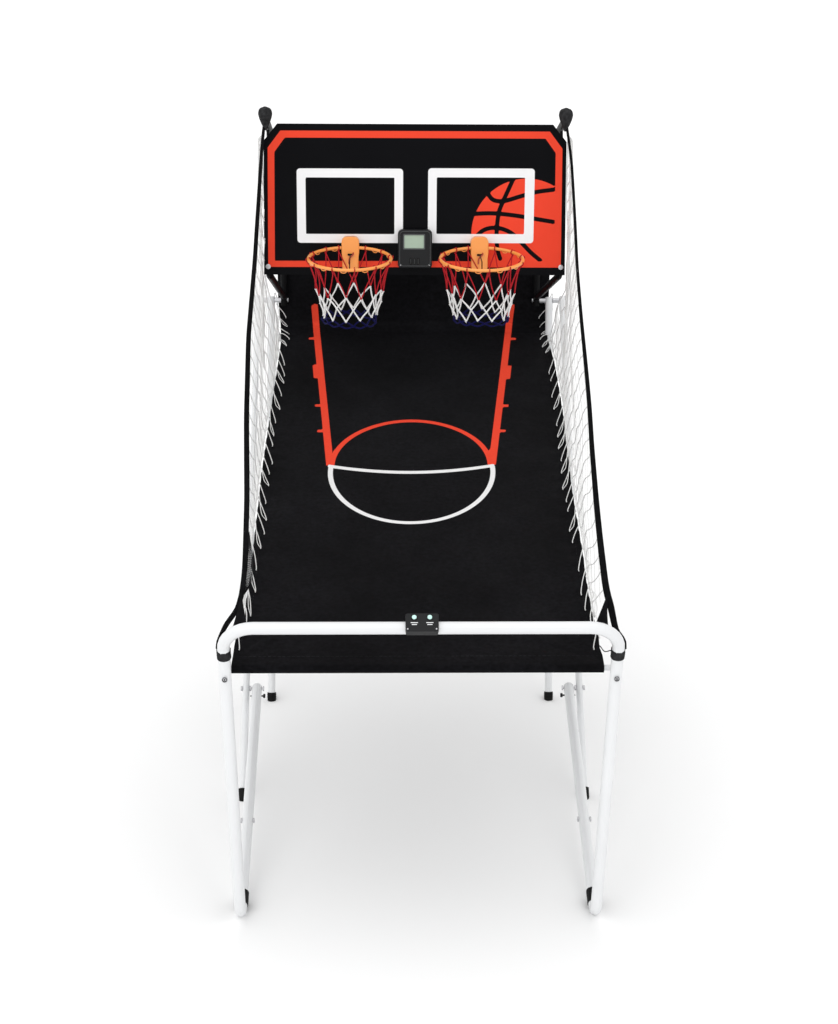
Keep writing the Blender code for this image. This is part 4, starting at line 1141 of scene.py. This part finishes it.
def make_gathers(side, sign, strap, rng):
    """Loose net gathered into strands between the pocket, the strap and the board's side."""
    cords = Tubes()
    top = np.array(strap[1]) + np.array((-sign * 0.002, 0.006, -0.004))
    for _ in range(13):
        end_z = BOARD_FOOT.z - rng.uniform(0.02, 0.30)
        turns, phase = rng.uniform(2.0, 4.5), rng.uniform(0, 6.3)
        line = []
        for t in np.linspace(0.0, 1.0, 34):
            z = top[2] * (1 - t) + end_z * t
            row = strap[min(int(t * 22), len(strap) - 1)]
            y = (top[1] + (BOARD_FOOT.y - 0.02 - top[1]) * t - rng.uniform(0.0, 0.002)
                 - 0.016 * math.sin(math.pi * t))
            inner, outer = BOARD_HALF + 0.002, abs(row[0]) + 0.002
            mix = 0.5 + 0.42 * math.sin(turns * math.tau * t + phase) * min(t * 6, 1.0)
            xx = inner + (max(outer, inner + 0.006) - inner) * mix
            spread = 0.012 * math.sin(9 * t + phase) * min(t * 3, 1.0)
            line.append(np.array((sign * xx, y + spread, z)))
        line[0] = top
        cords.tube(smooth_path(line, 2), rng.uniform(0.0016, 0.0024))
    for _ in range(7):
        z = BOARD_FOOT.z + BOARD_H * rng.uniform(0.25, 0.85)
        y = BOARD_FOOT.y - 0.012 + (z - BOARD_FOOT.z) * 0.07
        size_m = rng.uniform(0.006, 0.011)
        loop = [(sign * (BOARD_HALF + 0.006 + size_m * 0.35 * math.cos(a)), y - 0.004 * math.sin(2 * a),
                 z + size_m * 1.6 * math.sin(a)) for a in np.linspace(0, math.tau, 15)[:-1]]
        cords.tube(loop, 0.0014, closed=True)
    obj = cords.build("side_net_gathers_" + side, ["cord_white"])
    place(obj, STAND, "net_cord")


def make_strap(side, strap):
    """Black webbing sleeve along the net's front edge."""
    sleeve = Tubes()
    width = table(STRAP_HALF[side], np.linspace(0.0, 1.0, len(strap)))
    sleeve.tube(strap, width, 10, flat=0.36, across=X_AXIS)
    obj = sleeve.build("net_edge_strap_" + side, ["webbing"])
    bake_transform(obj)


def make_gusset(side, sign, strap):
    """Black cloth cuff round the coupler at the strap's foot, and the triangle behind the bar's bend."""
    coupler = middle("bar_coupler_" + side)
    radius, rows, cols = 0.0167, 7, 28
    axis = Vector((0.0, -0.22, 0.97)).normalized()
    other = axis.cross(X_AXIS)
    grid = np.zeros((rows, cols, 3))
    for i in range(rows):
        for j in range(cols):
            a = math.tau * j / cols
            r = radius + 0.0009 + 0.0004 * math.sin(7 * a + i) + 0.0003 * math.cos(3 * i)
            along = -0.0125 + 0.025 * i / (rows - 1)
            grid[i, j] = coupler + axis * along + (X_AXIS * math.cos(a) + other * math.sin(a)) * r
    cuff = shell("coupler_cuff_" + side, grid, 0.0010, "pouch", closed=True)
    place(cuff, FRONT, "black_fabric")

    # triangle from the strap down to the rear of the bar's bend
    apex = strap[round(STRAP_END * STRAP_STEPS)]
    behind = BAR_MID.y + 0.033
    feet = {"left": ((-0.479, 0.900), (-0.4388, 0.913)), "right": ((0.473, 0.9007), (0.437, 0.909))}[side]
    outer, inner = (np.array((fx, behind, fz)) for fx, fz in feet)
    rows, cols = 16, 11
    grid = np.zeros((rows, cols, 3))
    for i in range(rows):
        for j in range(cols):
            down, over = i / (rows - 1), j / (cols - 1)
            low = outer * (1 - over) + inner * over
            head = apex + np.array((-sign * (0.004 * over - 0.002), 0.0, 0.0))
            point = head * (1 - down) + low * down
            bow = math.sin(math.pi * down)
            point = point + np.array((sign * 0.004 * bow * (over - 0.5), 0.0, 0.0))
            point[1] += 0.004 * math.sin(6 * over + 4 * down) * down + 0.004 * bow
            grid[i, j] = point
    flap = shell("strap_gusset_" + side, grid, 0.0012, "cloth")
    place(flap, FRONT, "black_fabric")


def make_pocket(side):
    """Drop-shaped cloth pocket over the arm's tip, gathered at its foot where the strap leaves."""
    low, high = box("net_pocket_" + side)
    centre = (low + high) / 2
    rows, cols = 16, 26
    grid = np.zeros((rows, cols, 3))
    heights = np.linspace(0.0, 1.0, rows)
    shape = np.interp(heights, [0.0, 0.10, 0.28, 0.5, 0.7, 0.86, 0.95, 1.0],
                      [0.16, 0.24, 0.55, 0.85, 1.0, 0.88, 0.62, 0.10])
    for i in range(rows):
        for j in range(cols):
            a = math.tau * j / cols
            fold = 1 + 0.055 * math.sin(5 * a + 1.3) * (1 - heights[i]) + 0.03 * math.sin(9 * a)
            r = 0.0205 * shape[i] * fold
            z = low.z - 0.004 + (high.z - low.z + 0.006) * heights[i]
            grid[i, j] = (centre.x + math.cos(a) * r, centre.y + math.sin(a) * r * 1.05 - 0.002, z)
    pocket = shell("arm_tip_pocket_" + side, grid, 0.0014, "pouch", closed=True)
    place(pocket, STAND, "black_fabric", "net_pocket_" + side)


# ---------------------------------------------------------------- frame details
def paint_bolt_shade(parts, node):
    """Black hexagon on the front face of a bolt head, painted shade for its hex socket, with a fine black
    ring painted as the shaded contour round the head's edge.
    """
    low, high = box(node)
    centre = ((low.x + high.x) / 2, low.y - 0.0003, (low.z + high.z) / 2)
    parts.tube(circle(centre, SOCKET_R, 6), 0.0012, closed=True)
    parts.tube(circle(centre, min(high.x - low.x, high.z - low.z) / 2 * 0.72, 24), 0.0009, closed=True)


def make_frame_details():
    """Elastic tie from the cloth's corner to the right coupler, painted shade in the bolt sockets and round
    the bolt heads, and ribs on the rear feet.
    """
    tie = Tubes()
    coupler = middle("bar_coupler_right")
    corner = HEM + ALONG * 0.082 + ABOVE * (HEM_R + 0.004)
    start = np.array((right_edge(0.082) - 0.003, corner.y, corner.z))
    end = np.array((coupler.x - 0.0172, coupler.y + 0.006, coupler.z + 0.004))
    lower = (start + end) / 2 + np.array((0.001, -0.002, -0.010))
    tie.tube(smooth_path([start, start + np.array((0.006, -0.006, -0.002)), lower, end], 6), 0.0014, 6)
    place(tie.build("corner_elastic_tie", ["webbing"]), FRONT, "black_fabric")

    for side, _ in SIDES:
        # black rings on the bolt heads: painted shade in the sockets and round the heads' edges
        sockets = Tubes()
        paint_bolt_shade(sockets, "hem_bolt_" + side)
        paint_bolt_shade(sockets, "brace_bolt_" + side)
        place(sockets.build("bolt_shade_rings_" + side, ["rubber"]), FRONT, "zinc_steel")
        ribs = Tubes()
        low, high = box("rear_foot_" + side)
        half = min(high.x - low.x, high.y - low.y) / 2
        for share in (0.35, 0.62):
            centre = ((low.x + high.x) / 2, (low.y + high.y) / 2, low.z + (high.z - low.z) * share)
            ribs.tube(circle(centre, half, 24, v=(0.0, 1.0, 0.0)), 0.0009, 6, closed=True)
        place(ribs.build("rear_foot_ribs_" + side, ["rubber"]), STAND, "black_rubber")


def make_mesh_patch(strap):
    """Open dark mesh between the left strap's foot and the lacing."""
    mesh = Tubes()
    outer = [strap[round(part * STRAP_STEPS)] + np.array((0.004, 0.0, 0.0))
             for part in (0.79, 0.84, 0.875, STRAP_END)]
    inner_x, inner_drop = (-0.449, -0.437, -0.441, -0.462), (0.000, -0.010, -0.012, -0.004)
    inner = [np.array((gx, point[1] + 0.012, point[2] + drop))
             for gx, point, drop in zip(inner_x, outer, inner_drop)]
    outer, inner = smooth_path(outer, 12), smooth_path(inner, 12)
    rows = [[a * (1 - f) + b * f for f in np.linspace(0.0, 1.0, 13)] for a, b in zip(outer, inner)]
    for row in rows:
        mesh.tube([row[0], row[6], row[12]], MESH_R, 4)
    for column in zip(*rows[::3]):
        mesh.tube(column, MESH_R, 4)
    middle_point = (inner[-14] + outer[-1]) / 2 + np.array((0.001, 0.0, 0.0))
    mesh.tube([inner[-14], middle_point, outer[-1]], 0.0020, 6, 1)
    place(mesh.build("strap_mesh_patch_left", ["pouch", "webbing"]), FRONT, "black_fabric")


# ---------------------------------------------------------------- materials of the CAD pieces
def dress_nodes():
    looks = {"white": ("strut_left", "strut_right", "rear_leg_", "front_leg_", "brace_arm_", "rear_crossbar",
                       "front_bar", "hem_rod", "hinge_cap_"),
             "black": ("upper_arm_", "lower_arm_", "board_hanger_", "score_trigger_"),
             "orange": ("hoop_bracket_", "hoop_left", "hoop_right"),
             "plastic": ("bar_coupler_", "scoreboard_case", "control_box", "lock_pin_"),
             "rubber": ("strut_foot_", "rear_foot_", "foot_coupler_"),
             "steel": ("rear_joint_bolt_", "fold_pivot_bolt_", "board_bolt_", "hem_bolt_", "brace_bolt_"),
             "laminate": ("backboard",), "display": ("scoreboard_lens",), "mint": ("button_",)}
    for node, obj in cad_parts.items():
        for key, names in looks.items():
            if any(node == n or (n.endswith("_") and node.startswith(n)) for n in names):
                obj.material_slots[0].material = MAT[key]


make_stage()
make_board()
make_scoreboard()
make_control_box()
cloth = make_ramp()
for side_name, side_sign in SIDES:
    make_hoop_net(side_name)
    make_hoop_details(side_name)
    edge = make_side_net(side_name, side_sign, cloth)
    make_strap(side_name, edge)
    make_gusset(side_name, side_sign, edge)
    make_pocket(side_name)
    if side_name == "left":
        make_mesh_patch(edge)
make_frame_details()
dress_nodes()
